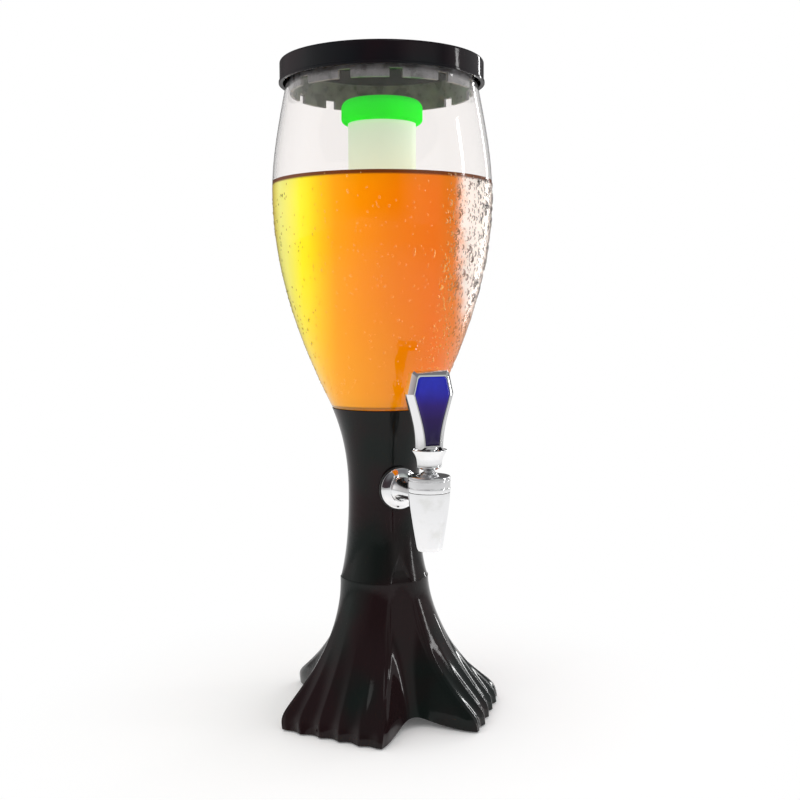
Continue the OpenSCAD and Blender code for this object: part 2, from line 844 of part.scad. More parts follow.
module tap_body() {
    color([0.85, 0.85, 0.87])
        difference() {
            union() {
                difference() {
                    union() {
                        tap_arm();
                        tap_bowl();
                    }
                    tap_bowl_hollow();
                    along_tap(seat_out)
                        cylinder(r = flow_r, h = valve_out - seat_out, $fn = 64);
                }
                along_tap(guide_out)
                    cylinder(r = rod_r + 1.8, h = guide_end - guide_out + 0.6, $fn = 48);
            }
            along_tap(shank_end - 1)
                cylinder(r = seat_r, h = seat_out - shank_end + 1, $fn = 64);
            along_tap(guide_out - 1)
                cylinder(r = rod_r + running, h = guide_end - guide_out + 1, $fn = 48);
            valve_place()
                translate([-bonnet_r - 1, 0, pivot_z])
                    rotate([0, 90, 0])
                        cylinder(r = pin_r + 0.03, h = 2 * bonnet_r + 2, $fn = 48);
        }
}

module tap_bonnet() {
    round = 1;
    plate = 1.8;
    color([0.85, 0.85, 0.87])
        valve_place()
            difference() {
                turned(concat(
                    [[0, bonnet_z], [bonnet_r - 0.5, bonnet_z], [bonnet_r, bonnet_z + 0.5],
                        [bonnet_r, bonnet_z + 3], [bonnet_r - 0.5, bonnet_z + 3.4],
                        [bonnet_r - 0.5, bonnet_top - 3.6], [bonnet_r, bonnet_top - 3.2]],
                    arc(bonnet_r - round, bonnet_top - round, round, 0, 90, 5),
                    [[0, bonnet_top]]
                ));
                translate([0, 0, bonnet_z - 1])
                    cylinder(r = neck_out_r + 0.1, h = bonnet_h - plate + 1, $fn = 96);
                translate([0, 0, pivot_z])
                    sphere(r = ball_r + loose, $fn = 96);
            }
}

module pivot_pin() {
    color("silver")
        valve_place()
            translate([0.3 - neck_out_r, 0, pivot_z])
                rotate([0, 90, 0])
                    cylinder(r = pin_r, h = 2 * (neck_out_r - 0.3), $fn = 48);
}

module ball_seal() {
    color([0.1, 0.1, 0.1])
        valve_place()
            ring(seal_ring_in, neck_bore_r - 0.1, seal_ring_z, seal_ring_z + seal_ring_t);
}

// --------------------------------------------------------------------- lever
ball_flat = 4;
lever_neck_r = 3.6;
stud_r = 2.5;
ferrule_z = pivot_z + ball_r + 0.6;
ferrule_floor = 4;
handle_plug_r = 7;
plug_z = ferrule_z + ferrule_floor;
ferrule_top = ferrule_z + ferrule_h;
handle_z = ferrule_top - 1.2;
stud_top = handle_z + 8;
handle_top = pivot_z + handle_up;

module tap_lever() {
    color([0.8, 0.8, 0.82])
        valve_place()
            difference() {
                union() {
                    intersection() {
                        translate([0, 0, pivot_z])
                            sphere(r = ball_r, $fn = 96);
                        translate([0, 0, pivot_z - ball_flat])
                            cylinder(r = ball_r + 1, h = 2 * ball_r, $fn = 64);
                    }
                    translate([0, 0, tap_z])
                        cylinder(r = peg_neck_r, h = pivot_up, $fn = 48);
                    translate([0, 0, tap_z])
                        sphere(r = peg_r, $fn = 48);
                    translate([0, 0, pivot_z])
                        cylinder(r = lever_neck_r, h = plug_z - pivot_z - 0.5, $fn = 48);
                    translate([0, 0, ferrule_z - 1])
                        cylinder(r1 = lever_neck_r, r2 = lever_neck_r + 1, h = 1, $fn = 48);
                    translate([0, 0, pivot_z])
                        cylinder(r = stud_r, h = stud_top - pivot_z, $fn = 48);
                }
                translate([-ball_r - 1, 0, pivot_z])
                    rotate([0, 90, 0])
                        cylinder(r = pin_r + running, h = 2 * ball_r + 2, $fn = 48);
            }
}

module handle_ferrule() {
    waist = ferrule_r - 3.6;
    wall = 1.3;
    color([0.85, 0.85, 0.87])
        valve_place()
            turned(concat(
                [[lever_neck_r + running, ferrule_z], [lever_neck_r + 2.4, ferrule_z],
                    [waist - 0.2, ferrule_z + 1.6]],
                curve([waist, ferrule_z + 3.4], [waist, ferrule_z + 8],
                    [ferrule_r - 1.6, ferrule_top - 4], [ferrule_r - 0.4, ferrule_top - 1.4], 8),
                [[ferrule_r, ferrule_top - 0.9], [ferrule_r - 0.2, ferrule_top],
                    [ferrule_r - wall, ferrule_top]],
                flip(curve([waist - wall, plug_z], [waist - wall, plug_z + 4],
                    [ferrule_r - 2 * wall, ferrule_top - 3.4], [ferrule_r - wall, ferrule_top - 1], 8)),
                [[lever_neck_r + running, plug_z]]
            ));
}

// Half width of the handle's outline, from its neck up to its top corners.
function handle_side(d) = concat(
    curve([neck_w / 2 - d, handle_z + d], [neck_w / 2 + 0.3 - d, handle_z + 16],
        [handle_w / 2 - 3.8 - d, handle_top - shoulder_drop - 14],
        [handle_w / 2 - d, handle_top - shoulder_drop], 9),
    [[handle_top_w / 2 + 0.5 - d * 0.8, handle_top - 1.4 - d],
        [handle_top_w / 2 - 1 - d * 0.8, handle_top - d]]
);
function handle_outline(d) =
    let (side = handle_side(d))
        concat(side, flip([for (p = side) [-p[0], p[1]]]));
function handle_ring(d, out) = [for (p = handle_outline(d)) [p[0], -out, p[1]]];

handle_front = valve_out + handle_t / 2;
handle_back = valve_out - handle_t / 2;
panel_edge = bevel + 0.9;

module handle_place(out) {
    translate([0, -out, 0])
        rotate([90, 0, 0])
            children();
}

module tap_handle() {
    color([0.85, 0.85, 0.87])
        difference() {
            union() {
                loft([
                    handle_ring(bevel, handle_back), handle_ring(0.6, handle_back + 1.6),
                    handle_ring(0, handle_back + 3), handle_ring(0, handle_front - bevel),
                    handle_ring(bevel, handle_front)
                ]);
                valve_place()
                    translate([0, 0, plug_z])
                        cylinder(r = handle_plug_r, h = handle_z - plug_z + 3, $fn = 64);
            }
            handle_place(handle_front - panel_pocket)
                linear_extrude(panel_pocket + 1)
                    polygon(handle_outline(panel_edge));
            valve_place()
                translate([0, 0, plug_z - 1])
                    cylinder(r = stud_r + running, h = stud_top - plug_z + 1.5, $fn = 48);
        }
}

module handle_panel() {
    color([0.1, 0.1, 0.45])
        loft([
            handle_ring(panel_edge + 0.1, handle_front - panel_pocket),
            handle_ring(panel_edge + 0.1, handle_front - 0.3),
            handle_ring(panel_edge + 1, handle_front + 0.3),
            handle_ring(panel_edge + 3.2, handle_front + 0.7)
        ]);
}

// --------------------------------------------------------------------- valve
module valve_shaft() {
    rear = seat_out - valve_washer_t - rod_nut_t - 0.3;
    color([0.7, 0.7, 0.72])
        difference() {
            union() {
                along_tap(rear)
                    cylinder(r = rod_r, h = guide_end - 1 - rear, $fn = 48);
                along_tap(valve_out - yoke_half)
                    cylinder(r = yoke_r, h = 2 * yoke_half, $fn = 48);
            }
            valve_place()
                translate([-peg_r - 0.25, -peg_r - peg_slack, tap_z - yoke_r - 1])
                    cube([2 * peg_r + 0.5, 2 * (peg_r + peg_slack), 2 * yoke_r + 2]);
            valve_place()
                translate([-yoke_r, -yoke_half - 1, tap_z + yoke_flat])
                    cube([2 * yoke_r, 2 * yoke_half + 2, yoke_r]);
        }
}

module valve_washer() {
    color([0.1, 0.1, 0.1])
        along_tap(seat_out - valve_washer_t)
            difference() {
                cylinder(r = washer_r, h = valve_washer_t, $fn = 64);
                translate([0, 0, -1])
                    cylinder(r = rod_r + running, h = valve_washer_t + 2, $fn = 48);
            }
}

module shaft_nut() {
    color("silver")
        along_tap(seat_out - valve_washer_t - rod_nut_t)
            difference() {
                cylinder(r = 3.9, h = rod_nut_t, $fn = 6);
                translate([0, 0, -1])
                    cylinder(r = rod_r + running, h = rod_nut_t + 2, $fn = 48);
            }
}

base_skirt();
foot_pads();
base_screws();
column();
tank_gasket();
tank();
ice_tube();
cap_gasket();
light_cap();
led_board();
leds();
battery_cells();
battery_clips();
cap_cover();
switch_button();
lid();
lid_seal();
tap_outer_washer();
tap_inner_washer();
tap_lock_nut();
tap_escutcheon();
tap_body();
tap_bonnet();
pivot_pin();
ball_seal();
tap_lever();
handle_ferrule();
tap_handle();
handle_panel();
valve_shaft();
valve_washer();
shaft_nut();
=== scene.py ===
import math
import random

import bmesh
import bpy
from mathutils import Matrix, Vector


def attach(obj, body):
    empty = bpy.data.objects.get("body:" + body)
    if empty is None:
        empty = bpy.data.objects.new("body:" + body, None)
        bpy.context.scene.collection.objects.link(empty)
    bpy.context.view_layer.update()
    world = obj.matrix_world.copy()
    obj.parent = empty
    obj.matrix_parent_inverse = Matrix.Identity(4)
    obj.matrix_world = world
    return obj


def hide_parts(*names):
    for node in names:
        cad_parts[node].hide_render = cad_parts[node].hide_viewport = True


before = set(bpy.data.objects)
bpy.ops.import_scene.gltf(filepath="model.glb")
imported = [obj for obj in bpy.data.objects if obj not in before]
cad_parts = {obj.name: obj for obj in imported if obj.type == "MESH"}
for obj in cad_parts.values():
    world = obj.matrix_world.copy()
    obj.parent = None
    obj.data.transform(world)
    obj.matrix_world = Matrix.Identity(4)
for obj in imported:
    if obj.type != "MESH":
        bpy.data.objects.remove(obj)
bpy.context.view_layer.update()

# ------------------------------------------------------------------ the camera
# A 50 mm lens at the height of the drink, looking a little down, with the tap
# turned to its right. The tower leans a hair to the left in it.
eye = Vector((-0.3284, -0.7686, 0.3028))
turned_right = math.radians(-24)
looks_down = math.radians(4.58)
lean = math.radians(-0.2)

sensor_mm, lens_mm = 36, 50

camera_data = bpy.data.cameras.new("camera")
camera_data.sensor_width = sensor_mm
camera_data.lens = lens_mm
camera = bpy.data.objects.new("camera", camera_data)
bpy.context.scene.collection.objects.link(camera)
aim = Matrix.Rotation(turned_right, 4, "Z") @ Matrix.Rotation(math.pi / 2 - looks_down, 4, "X")
camera.matrix_world = Matrix.Translation(eye) @ aim @ Matrix.Rotation(lean, 4, "Z")
bpy.context.scene.camera = camera
bpy.context.scene.view_settings.view_transform = "Standard"

to_right = Vector((math.cos(turned_right), math.sin(turned_right), 0))
to_eye = Vector((math.sin(turned_right), -math.cos(turned_right), 0))


# ------------------------------------------------------------------ the studio
# A white room with a pale floor. Metal and gloss plastic mirror grey panels
# round it and a softbox above, while glass and the camera see it white.
class Wire:
    """A shader socket that takes part in sums: wire * 2 - 1 adds the Math nodes."""

    def __init__(self, finish, socket):
        self.finish, self.socket = finish, socket

    def sum(self, operation, first, second):
        settings = {"operation": operation}
        return self.finish.node("ShaderNodeMath", settings, {0: first, 1: second})

    def __add__(self, other):
        return self.sum("ADD", self, other)

    def __sub__(self, other):
        return self.sum("SUBTRACT", self, other)

    def __rsub__(self, other):
        return self.sum("SUBTRACT", other, self)

    def __mul__(self, other):
        return self.sum("MULTIPLY", self, other)

    def __truediv__(self, other):
        return self.sum("DIVIDE", self, other)

    def __pow__(self, other):
        return self.sum("POWER", self, other)

    __radd__, __rmul__ = __add__, __mul__

    def __getitem__(self, name):
        return Wire(self.finish, self.socket.node.outputs[name])


class Finish:
    """The nodes of one surface finish, or of the room round it."""

    def __init__(self, name, tree=None):
        if tree is None:
            self.material = bpy.data.materials.new(name)
            self.material.use_nodes = True
            tree = self.material.node_tree
        self.tree = tree
        self.tree.nodes.clear()

    def node(self, kind, settings=(), values=()):
        made = self.tree.nodes.new(kind)
        for key, value in dict(settings).items():
            if key == "stops":
                ramp = made.color_ramp
                while len(ramp.elements) < len(value):
                    ramp.elements.new(0.5)
                for stop, (place, colour) in zip(ramp.elements, value):
                    stop.position, stop.color = place, (*colour, 1)
            else:
                setattr(made, key, value)
        for key, value in dict(values).items():
            if isinstance(value, Wire):
                self.tree.links.new(value.socket, made.inputs[key])
            else:
                made.inputs[key].default_value = value
        return Wire(self, made.outputs[0]) if len(made.outputs) else None

    def place(self):
        return self.node("ShaderNodeTexCoord")["Object"]

    def parts(self, vector):
        return self.node("ShaderNodeSeparateXYZ", {}, {0: vector})

    def noise(self, vector, scale, detail=2.0, stretch=None):
        if stretch is not None:
            settings = {"operation": "MULTIPLY"}
            vector = self.node("ShaderNodeVectorMath", settings, {0: vector, 1: stretch})
        return self.node(
            "ShaderNodeTexNoise", {}, {"Vector": vector, "Scale": scale, "Detail": detail})["Fac"]

    def ease(self, wire, low, high, start=0.0, end=1.0):
        return self.node(
            "ShaderNodeMapRange", {"interpolation_type": "SMOOTHSTEP"},
            {"Value": wire, "From Min": low, "From Max": high, "To Min": start, "To Max": end})

    def blend(self, share, first, second):
        mixed = self.node(
            "ShaderNodeMix", {"data_type": "RGBA"},
            {0: share, 6: self.colour(first), 7: self.colour(second)})
        return Wire(self, mixed.socket.node.outputs[2])

    def ramp(self, wire, stops):
        return self.node("ShaderNodeValToRGB", {"stops": stops}, {0: wire})

    def bump(self, height, distance, strength=1.0):
        return self.node(
            "ShaderNodeBump", {}, {"Height": height, "Distance": distance, "Strength": strength})

    def mix(self, share, first, second):
        return self.node("ShaderNodeMixShader", {}, {0: share, 1: first, 2: second})

    def principled(self, **values):
        named = {key.replace("_", " "): self.colour(value) for key, value in values.items()}
        return self.node("ShaderNodeBsdfPrincipled", {}, named)

    def show(self, shader, kind="ShaderNodeOutputMaterial"):
        self.node(kind, {}, {"Surface": shader})
        return getattr(self, "material", None)

    @staticmethod
    def colour(value):
        return (*value, 1) if isinstance(value, tuple) and len(value) == 3 else value


room = bpy.data.worlds.new("room")
bpy.context.scene.world = room
room.use_nodes = True
air = Finish("room", room.node_tree)
ray = air.node("ShaderNodeLightPath")
way = air.node("ShaderNodeTexCoord")["Generated"]
axes = air.parts(way)
across = axes["X"] * to_right.x + axes["Y"] * to_right.y
ahead = axes["X"] * to_eye.x + axes["Y"] * to_eye.y
bearing = air.node("ShaderNodeMath", {"operation": "ARCTAN2"}, {0: across, 1: ahead})
panels = air.ramp(bearing * (0.5 / math.pi) + 0.5, [
    (0.00, (0.10, 0.10, 0.10)), (0.09, (0.13, 0.13, 0.13)), (0.16, (0.45, 0.44, 0.44)),
    (0.24, (0.90, 0.89, 0.88)), (0.33, (0.50, 0.46, 0.46)), (0.44, (0.05, 0.035, 0.04)),
    (0.545, (0.05, 0.045, 0.05)), (0.60, (0.58, 0.62, 0.60)), (0.66, (0.52, 0.56, 0.54)),
    (0.70, (0.10, 0.13, 0.12)), (0.76, (0.70, 0.70, 0.70)), (0.87, (0.40, 0.42, 0.42)),
    (0.94, (0.10, 0.10, 0.10)),
])
ceiling, ground_tone, softbox_light = (0.18, 0.18, 0.19), (0.85, 0.85, 0.85), (2.0, 2.0, 2.0)
softbox_way = (to_eye * 0.45 + to_right * 0.2 + Vector((0, 0, 0.87))).normalized()
sky = air.blend(air.ease(axes["Z"], 0.25, 0.75), panels, ceiling)
softbox = air.node("ShaderNodeVectorMath", {"operation": "DOT_PRODUCT"},
                   {0: way, 1: softbox_way})["Value"]
sky = air.blend(air.ease(softbox, 0.985, 0.992), sky, softbox_light)
mirrored = air.blend(air.ease(axes["Z"], -0.3, 0.0), ground_tone, sky)
white = air.node("ShaderNodeBackground", {}, {"Color": (1, 1, 1, 1), "Strength": 1.0})
soft = air.node("ShaderNodeBackground", {}, {"Color": (1, 1, 1, 1), "Strength": 0.9})
panelled = air.node("ShaderNodeBackground", {}, {"Color": mirrored, "Strength": 1.0})
lit = air.mix(ray["Is Glossy Ray"], soft, panelled)
open_air = air.node("ShaderNodeMath", {"operation": "MAXIMUM"},
                    {0: ray["Is Camera Ray"], 1: ray["Is Transmission Ray"]})
air.show(air.mix(open_air, lit, white), "ShaderNodeOutputWorld")


def lamp(name, place, size, watts, in_gloss=True, target=(0, 0, 0.25)):
    """A rectangular lamp aimed at the tower, seen at most in glossy surfaces."""
    data = bpy.data.lights.new(name, "AREA")
    data.shape = "RECTANGLE"
    data.size, data.size_y = size
    data.energy = watts
    made = bpy.data.objects.new(name, data)
    bpy.context.scene.collection.objects.link(made)
    made.location = place
    made.rotation_euler = (Vector(target) - Vector(place)).to_track_quat("-Z", "Y").to_euler()
    made.visible_camera = False
    made.visible_glossy = in_gloss
    made.visible_transmission = False


key_up, strip_up = Vector((0, 0, 1.3)), Vector((0, 0, 0.45))
lamp("key", to_eye * 0.9 - to_right * 0.9 + key_up, (0.8, 0.8), 4, in_gloss=False)
lamp("side_strip", to_right * 1.1 + strip_up, (0.07, 0.8), 2.2)
lamp("back_strip", to_right * 0.75 - to_eye * 0.85 + strip_up, (0.06, 0.8), 2.0)

floor_size = 6
bpy.ops.mesh.primitive_plane_add(size=floor_size)
floor = bpy.context.object
floor.name = "floor"
ground = Finish("floor")
spot = ground.parts(ground.place())
reach = (spot["X"] ** 2 + spot["Y"] ** 2) ** 0.5
path = ground.node("ShaderNodeLightPath")
pale = ground.principled(
    Base_Color=(0.97, 0.97, 0.97), Roughness=0.35, Specular_IOR_Level=0.2,
    Emission_Color=(1, 1, 1), Emission_Strength=0.07)
blank = ground.node("ShaderNodeEmission", {}, {"Color": (1, 1, 1, 1), "Strength": 1.0})
near_glow = ground.node("ShaderNodeEmission", {}, {"Color": (1, 1, 1, 1), "Strength": 0.92})
far_glow = ground.node("ShaderNodeEmission", {}, {"Color": (1, 1, 1, 1), "Strength": 0.45})
away = ground.ease(reach, 0.07, 0.3) * path["Is Camera Ray"]
in_gloss = ground.ease(reach, 0.15, 0.5) * path["Is Glossy Ray"]
glow = ground.mix(ground.ease(reach, 0.6, 1.8), near_glow, far_glow)
floor.data.materials.append(ground.show(ground.mix(in_gloss, ground.mix(away, pale, blank), glow)))


# -------------------------------------------------------------- the base skirt
# One gloss black moulding: three splayed legs with fluted faces, and a smooth
# hollow panel between each two that arches up at the floor. Its shell is open
# underneath.
MM = 0.001
legs = 3
sector = 360 / legs
skirt_h = 103
leg_r, leg_top_r = 90.5, 33.5
panel_r, panel_top_r = 54, 31.4
leg_half, leg_top_half = 27, 45
leg_flare, face_flare, panel_flare = 2.35, 1.75, 1.4
toe_in, corner_round, corner_reach = (0, 8.5, -8.5, 0), 2.4, 1.7
toe_lip, toe_soft = 1.09, 0.025
flutes, flute_depth, flute_h = 5, 3, 66
flute_fade, flute_soft = 1.2, 0.02
panel_fill = 2.4
floor_gap, arch_h = 1.2, 7
skirt_wall, skirt_lip = 2.8, 0.4


def solid(name, points, faces, sharp=35):
    """A smooth-shaded mesh from points in mm, with its real edges kept sharp."""
    mesh = bpy.data.meshes.new(name)
    mesh.from_pydata([Vector(p) * MM for p in points], [], faces)
    mesh.validate()
    form = bmesh.new()
    form.from_mesh(mesh)
    bmesh.ops.remove_doubles(form, verts=form.verts, dist=1e-6)
    bmesh.ops.recalc_face_normals(form, faces=form.faces)
    form.to_mesh(mesh)
    form.free()
    mesh.polygons.foreach_set("use_smooth", [True] * len(mesh.polygons))
    mesh.set_sharp_from_angle(angle=math.radians(sharp))
    made = bpy.data.objects.new(name, mesh)
    bpy.context.scene.collection.objects.link(made)
    return made


def piece(made, body, slot, material, *stands_for):
    """Dresses a made piece: its finish, the body it rides on, the nodes it stands for."""
    made.data.materials.clear()
    made.data.materials.append(material)
    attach(made, body)
    if stands_for:
        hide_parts(*stands_for)
    return made


def black_moulding(name, warm, cool):
    """Gloss black plastic: a hint of two tones, partly painted coloured reflections, faint orange peel,
    and handling haze.
    """
    finish = Finish(name)
    place = finish.place()
    # Two faint tones mixed by large noise: partly a painted reflection, like coloured smears mirrored in
    # gloss black.
    drift = finish.ease(finish.noise(place, 17, 2), 0.4, 0.62)
    haze = finish.ease(finish.noise(place, 60, 5), 0.45, 0.75)
    peel = finish.noise(place, 210, 2)
    return finish.show(finish.principled(
        Base_Color=finish.blend(drift, warm, cool), Roughness=haze * 0.09 + 0.07, Specular_IOR_Level=0.18,
        Normal=finish.bump(peel, 0.00012, 0.5)))


def skirt_ring(t, cut, shrink=0.0):
    """One level of the skirt, t from 1 at the floor to 0 at its top, cut inwards."""
    flare = -toe_soft * math.log(math.exp(-1 / toe_soft) + math.exp(-t * toe_lip / toe_soft))
    corner = leg_top_r + (leg_r - leg_top_r) * flare ** leg_flare
    foot = (leg_r + corner_round) * math.cos(math.radians(leg_half))
    middle = leg_top_r + (foot - leg_top_r) * flare ** face_flare
    panel = panel_top_r + (panel_r - panel_top_r) * t ** panel_flare
    deep = flute_depth * max(0, 1 - (1 - t) * skirt_h / flute_h) ** flute_fade
    valley, crest = math.sqrt(flute_soft), math.sqrt(1 + flute_soft)
    blunt = corner_round * t
    half = leg_top_half + (leg_half - leg_top_half) * t
    half -= math.degrees(math.asin(cut / corner))
    face_points, panel_points = 90, 56
    flat = math.cos(math.radians(half))
    ring = []
    for leg in range(legs):
        mid = 90 + leg * sector + toe_in[leg] * t
        gap = sector + (toe_in[leg + 1] - toe_in[leg]) * t - 2 * half
        for i in range(face_points + 1):
            turn = -half + 2 * half * i / face_points
            wave = abs(math.sin(math.pi * flutes * (turn + half) / (2 * half)))
            wave = 1 if cut else (math.sqrt(wave ** 2 + flute_soft) - valley) / (crest - valley)
            bow = (math.cos(math.radians(turn)) - flat) / (1 - flat)
            radius = corner + blunt + (middle - corner - blunt) * bow - deep * wave
            ring.append((mid + turn, half - abs(turn), radius, 0))
        for i in range(1, panel_points):
            turn = gap * i / panel_points
            q = 1 - abs(2 * i / panel_points - 1)
            top = corner + blunt - (deep if cut else 0)
            radius = top + (panel - top) * (1 - (1 - q) ** panel_fill)
            ring.append((mid + half + turn, min(turn, gap - turn), radius, q))
    points = []
    for angle, from_corner, radius, q in ring:
        radius -= cut + shrink + blunt * math.exp(-(from_corner / corner_reach) ** 2)
        low = floor_gap + arch_h * math.sin(math.pi / 2 * q) ** 2
        a = math.radians(angle)
        points.append((radius * math.cos(a), radius * math.sin(a), low + (1 - t) * (skirt_h - low)))
    return points


def lofted(rings, looped=False):
    """Points and faces through equal rings, capped at both ends or closed on itself."""
    n, levels = len(rings[0]), len(rings)
    faces = []
    if not looped:
        faces = [tuple(range(n))[::-1], tuple(range((levels - 1) * n, levels * n))]
    for k in range(levels if looped else levels - 1):
        low, high = k * n, (k + 1) % levels * n
        faces += [(low + i, low + (i + 1) % n, high + (i + 1) % n, high + i) for i in range(n)]
    return [p for ring in rings for p in ring], faces


def skirt_shell():
    """The skirt as one closed shell: outside, rounded top edge, and inside."""
    outer = [skirt_ring(1 - k / 60, 0) for k in range(60)]
    for turn in (0, 30, 60, 90):
        a = math.radians(turn)
        level = skirt_ring(0, 0, skirt_lip * (1 - math.cos(a)))
        z = skirt_h - skirt_lip * (1 - math.sin(a))
        outer.append([(x, y, z) for x, y, _ in level])
    lip = [[(x, y, skirt_h) for x, y, _ in skirt_ring(0, skirt_wall)]]
    inner = [skirt_ring(k / 16, skirt_wall) for k in range(17)]
    return lofted(outer + lip + inner, looped=True)


base_black = black_moulding("base_black", (0.013, 0.0065, 0.0072), (0.006, 0.009, 0.008))


# ---------------------------------------------------------------- the column
# Moulded in the same gloss black: a waisted column that is screwed into the
# skirt's socket. Its top is a cup for the tank's neck, and the tap is bolted on
# through a flat boss.
seam_r, seam_z = 38.4, 231
tap_z = 173
waist_r, waist_z, waist_low = 26.6, 166, 136
column_foot_r = 33.1


def curve(a, b, c, d, n=24):
    """Points along a cubic curve through a and d, drawn to b and c."""
    points = []
    for i in range(n + 1):
        t = i / n
        w = ((1 - t) ** 3, 3 * t * (1 - t) ** 2, 3 * t * t * (1 - t), t ** 3)
        points.append(tuple(sum(k * p[j] for k, p in zip(w, (a, b, c, d))) for j in (0, 1)))
    return points


def arc(cx, cz, r, start, end, n=8):
    """Points on a round corner, its angles in degrees from straight out."""
    angles = [math.radians(start + (end - start) * i / n) for i in range(n + 1)]
    return [(cx + r * math.cos(a), cz + r * math.sin(a)) for a in angles]


def turned(outline, steps=160, place=Matrix(), closed=True):
    """Points and faces of an outline of (radius, height) swept round +Z, then placed."""
    points, faces, starts = [], [], []
    for radius, height in outline:
        starts.append(len(points))
        around = 1 if radius < 1e-6 else steps
        for i in range(around):
            a = 2 * math.pi * i / steps
            points.append(place @ Vector((radius * math.cos(a), radius * math.sin(a), height)))
    loop = list(zip(range(len(outline)), range(1, len(outline))))
    if closed and outline[0][0] > 0 and outline[-1][0] > 0:
        loop.append((len(outline) - 1, 0))
    for k, m in loop:
        for i in range(steps):
            j = (i + 1) % steps
            low = [starts[k] + (spoke if outline[k][0] > 0 else 0) for spoke in (i, j)]
            top = [starts[m] + (spoke if outline[m][0] > 0 else 0) for spoke in (j, i)]
            corners = list(dict.fromkeys(low + top))
            if len(corners) > 2:
                faces.append(corners)
    return points, faces


def joined(*shapes):
    """Several shapes' points and faces as one."""
    points, faces = [], []
    for shape_points, shape_faces in shapes:
        start = len(points)
        points += list(shape_points)
        faces += [[start + i for i in face] for face in shape_faces]
    return points, faces


web_z, web_t, web_r = 79, 4, 28.4
socket_in, socket_out, socket_top = 26.7, 30.8, skirt_h - 0.2
socket = turned([(0, web_z), (web_r, web_z), (web_r, web_z + 1), (socket_out, web_z + 1),
                 (socket_out, socket_top), (socket_in, socket_top), (socket_in, web_z + web_t),
                 (0, web_z + web_t)], 96)
foot_r, foot_ring, foot_turn = 5.5, 76.07, 16.2
foot_boss_top = floor_gap + 6


def foot_place(leg, side):
    """Where a rubber foot sits under a leg, on its side -1 or 1."""
    turn = math.radians(90 + leg * sector + toe_in[leg] + side * foot_turn)
    return Matrix.Rotation(turn, 4, "Z") @ Matrix.Translation((foot_ring, 0, 0))


bosses = [
    turned([(foot_r + 0.05, floor_gap), (foot_r + 1, floor_gap), (foot_r + 1, foot_boss_top),
            (0, foot_boss_top), (0, floor_gap + 1), (foot_r + 0.05, floor_gap + 1)], 48,
           foot_place(leg, side))
    for leg in range(legs) for side in (-1, 1)]
skirt = solid("base_skirt_moulding", *joined(skirt_shell(), socket, *bosses))
piece(skirt, "stand", "base_black", base_black, "base_skirt")

column_side = (
    curve((column_foot_r, skirt_h), (column_foot_r - 3.5, skirt_h + 9), (waist_r, waist_low),
          (waist_r, waist_z), 30)
    + curve((waist_r, waist_z), (waist_r, waist_z + 32), (33, seam_z - 14),
            (seam_r, seam_z - 0.5), 30)[1:])
recess_half, recess_h, recess_out, recess_foot = 8.6, 20, 28.6, 9
recess_blend, panel_mid = 1.1, 30


def column_ring(radius, z):
    """One level of the column: round, but for the recess above each hollow panel."""
    ring = []
    for i in range(360):
        off = math.radians((i - panel_mid + sector / 2) % sector - sector / 2)
        inside = recess_half * (1 - (z - skirt_h) / recess_h) - abs(radius * math.sin(off))
        share = min(1, max(0, (inside + 0.3) / recess_blend))
        sweep = max(0, 1 - (z - skirt_h) / recess_foot) ** 2
        flat = (recess_out + (panel_top_r - recess_out) * sweep) / math.cos(off)
        r = radius + min(0, flat - radius) * share * share * (3 - 2 * share)
        a = math.radians(i)
        ring.append((r * math.cos(a), r * math.sin(a), z))
    return ring


spigot_r, spigot_z = socket_in - 0.3, web_z + web_t
gasket_out, gasket_z, cup_r = seam_r - 3.6, seam_z - 1.7, 28.8
outlet_r, outlet_z = 23.6, tap_z - 15
column_rings = [
    column_ring(r, z) for r, z in [(spigot_r, spigot_z), (spigot_r, skirt_h)] + column_side]
column_cup = turned([
    (seam_r, seam_z - 0.5), (seam_r - 0.5, seam_z), (gasket_out, seam_z), (gasket_out, gasket_z),
    (cup_r, gasket_z), (cup_r, seam_z - 18), (24, 200), (outlet_r, outlet_z), (0, outlet_z)], 360)


def along_tap(out):
    """Lays a turned shape along the tap: its +Z points away from the tower."""
    return Matrix.Translation((0, -out, tap_z)) @ Matrix.Rotation(math.pi / 2, 4, "X")


shank_hole_r, boss_r, boss_in, boss_out = 7.7, 14, 20, 28.5
boss = turned([(shank_hole_r, boss_in), (boss_r, boss_in)]
              + arc(boss_r - 0.5, boss_out - 0.5, 0.5, 0, 90) + [(shank_hole_r, boss_out)],
              96, along_tap(0))
column = solid("column_moulding", *joined(lofted(column_rings), column_cup, boss))
piece(column, "stand", "base_black", base_black, "column")


# --------------------------------------------------- the rubber and steel parts
# Moulded rubber pads, gaskets and washers, dulled by dust, and turned steel
# screws, pin, lever and valve shaft. Their shapes are the CAD's own.
rubber = Finish("black_rubber")
rubber_place = rubber.place()
rubber_dust = rubber.ease(rubber.noise(rubber_place, 130, 5), 0.45, 0.8)
black_rubber = rubber.show(rubber.principled(
    Base_Color=rubber.blend(rubber_dust, (0.018, 0.018, 0.018), (0.05, 0.048, 0.045)),
    Roughness=rubber_dust * 0.2 + 0.6,
    Normal=rubber.bump(rubber.noise(rubber_place, 1500, 3), 0.0001, 0.6)))


def refinish(material, *names):
    """Gives CAD nodes that show as they are their real finish."""
    for name in names:
        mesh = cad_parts[name].data
        mesh.materials.clear()
        mesh.materials.append(material)


refinish(black_rubber, "foot_pads", "tank_gasket", "tap_outer_washer", "tap_inner_washer",
         "ball_seal", "valve_washer")

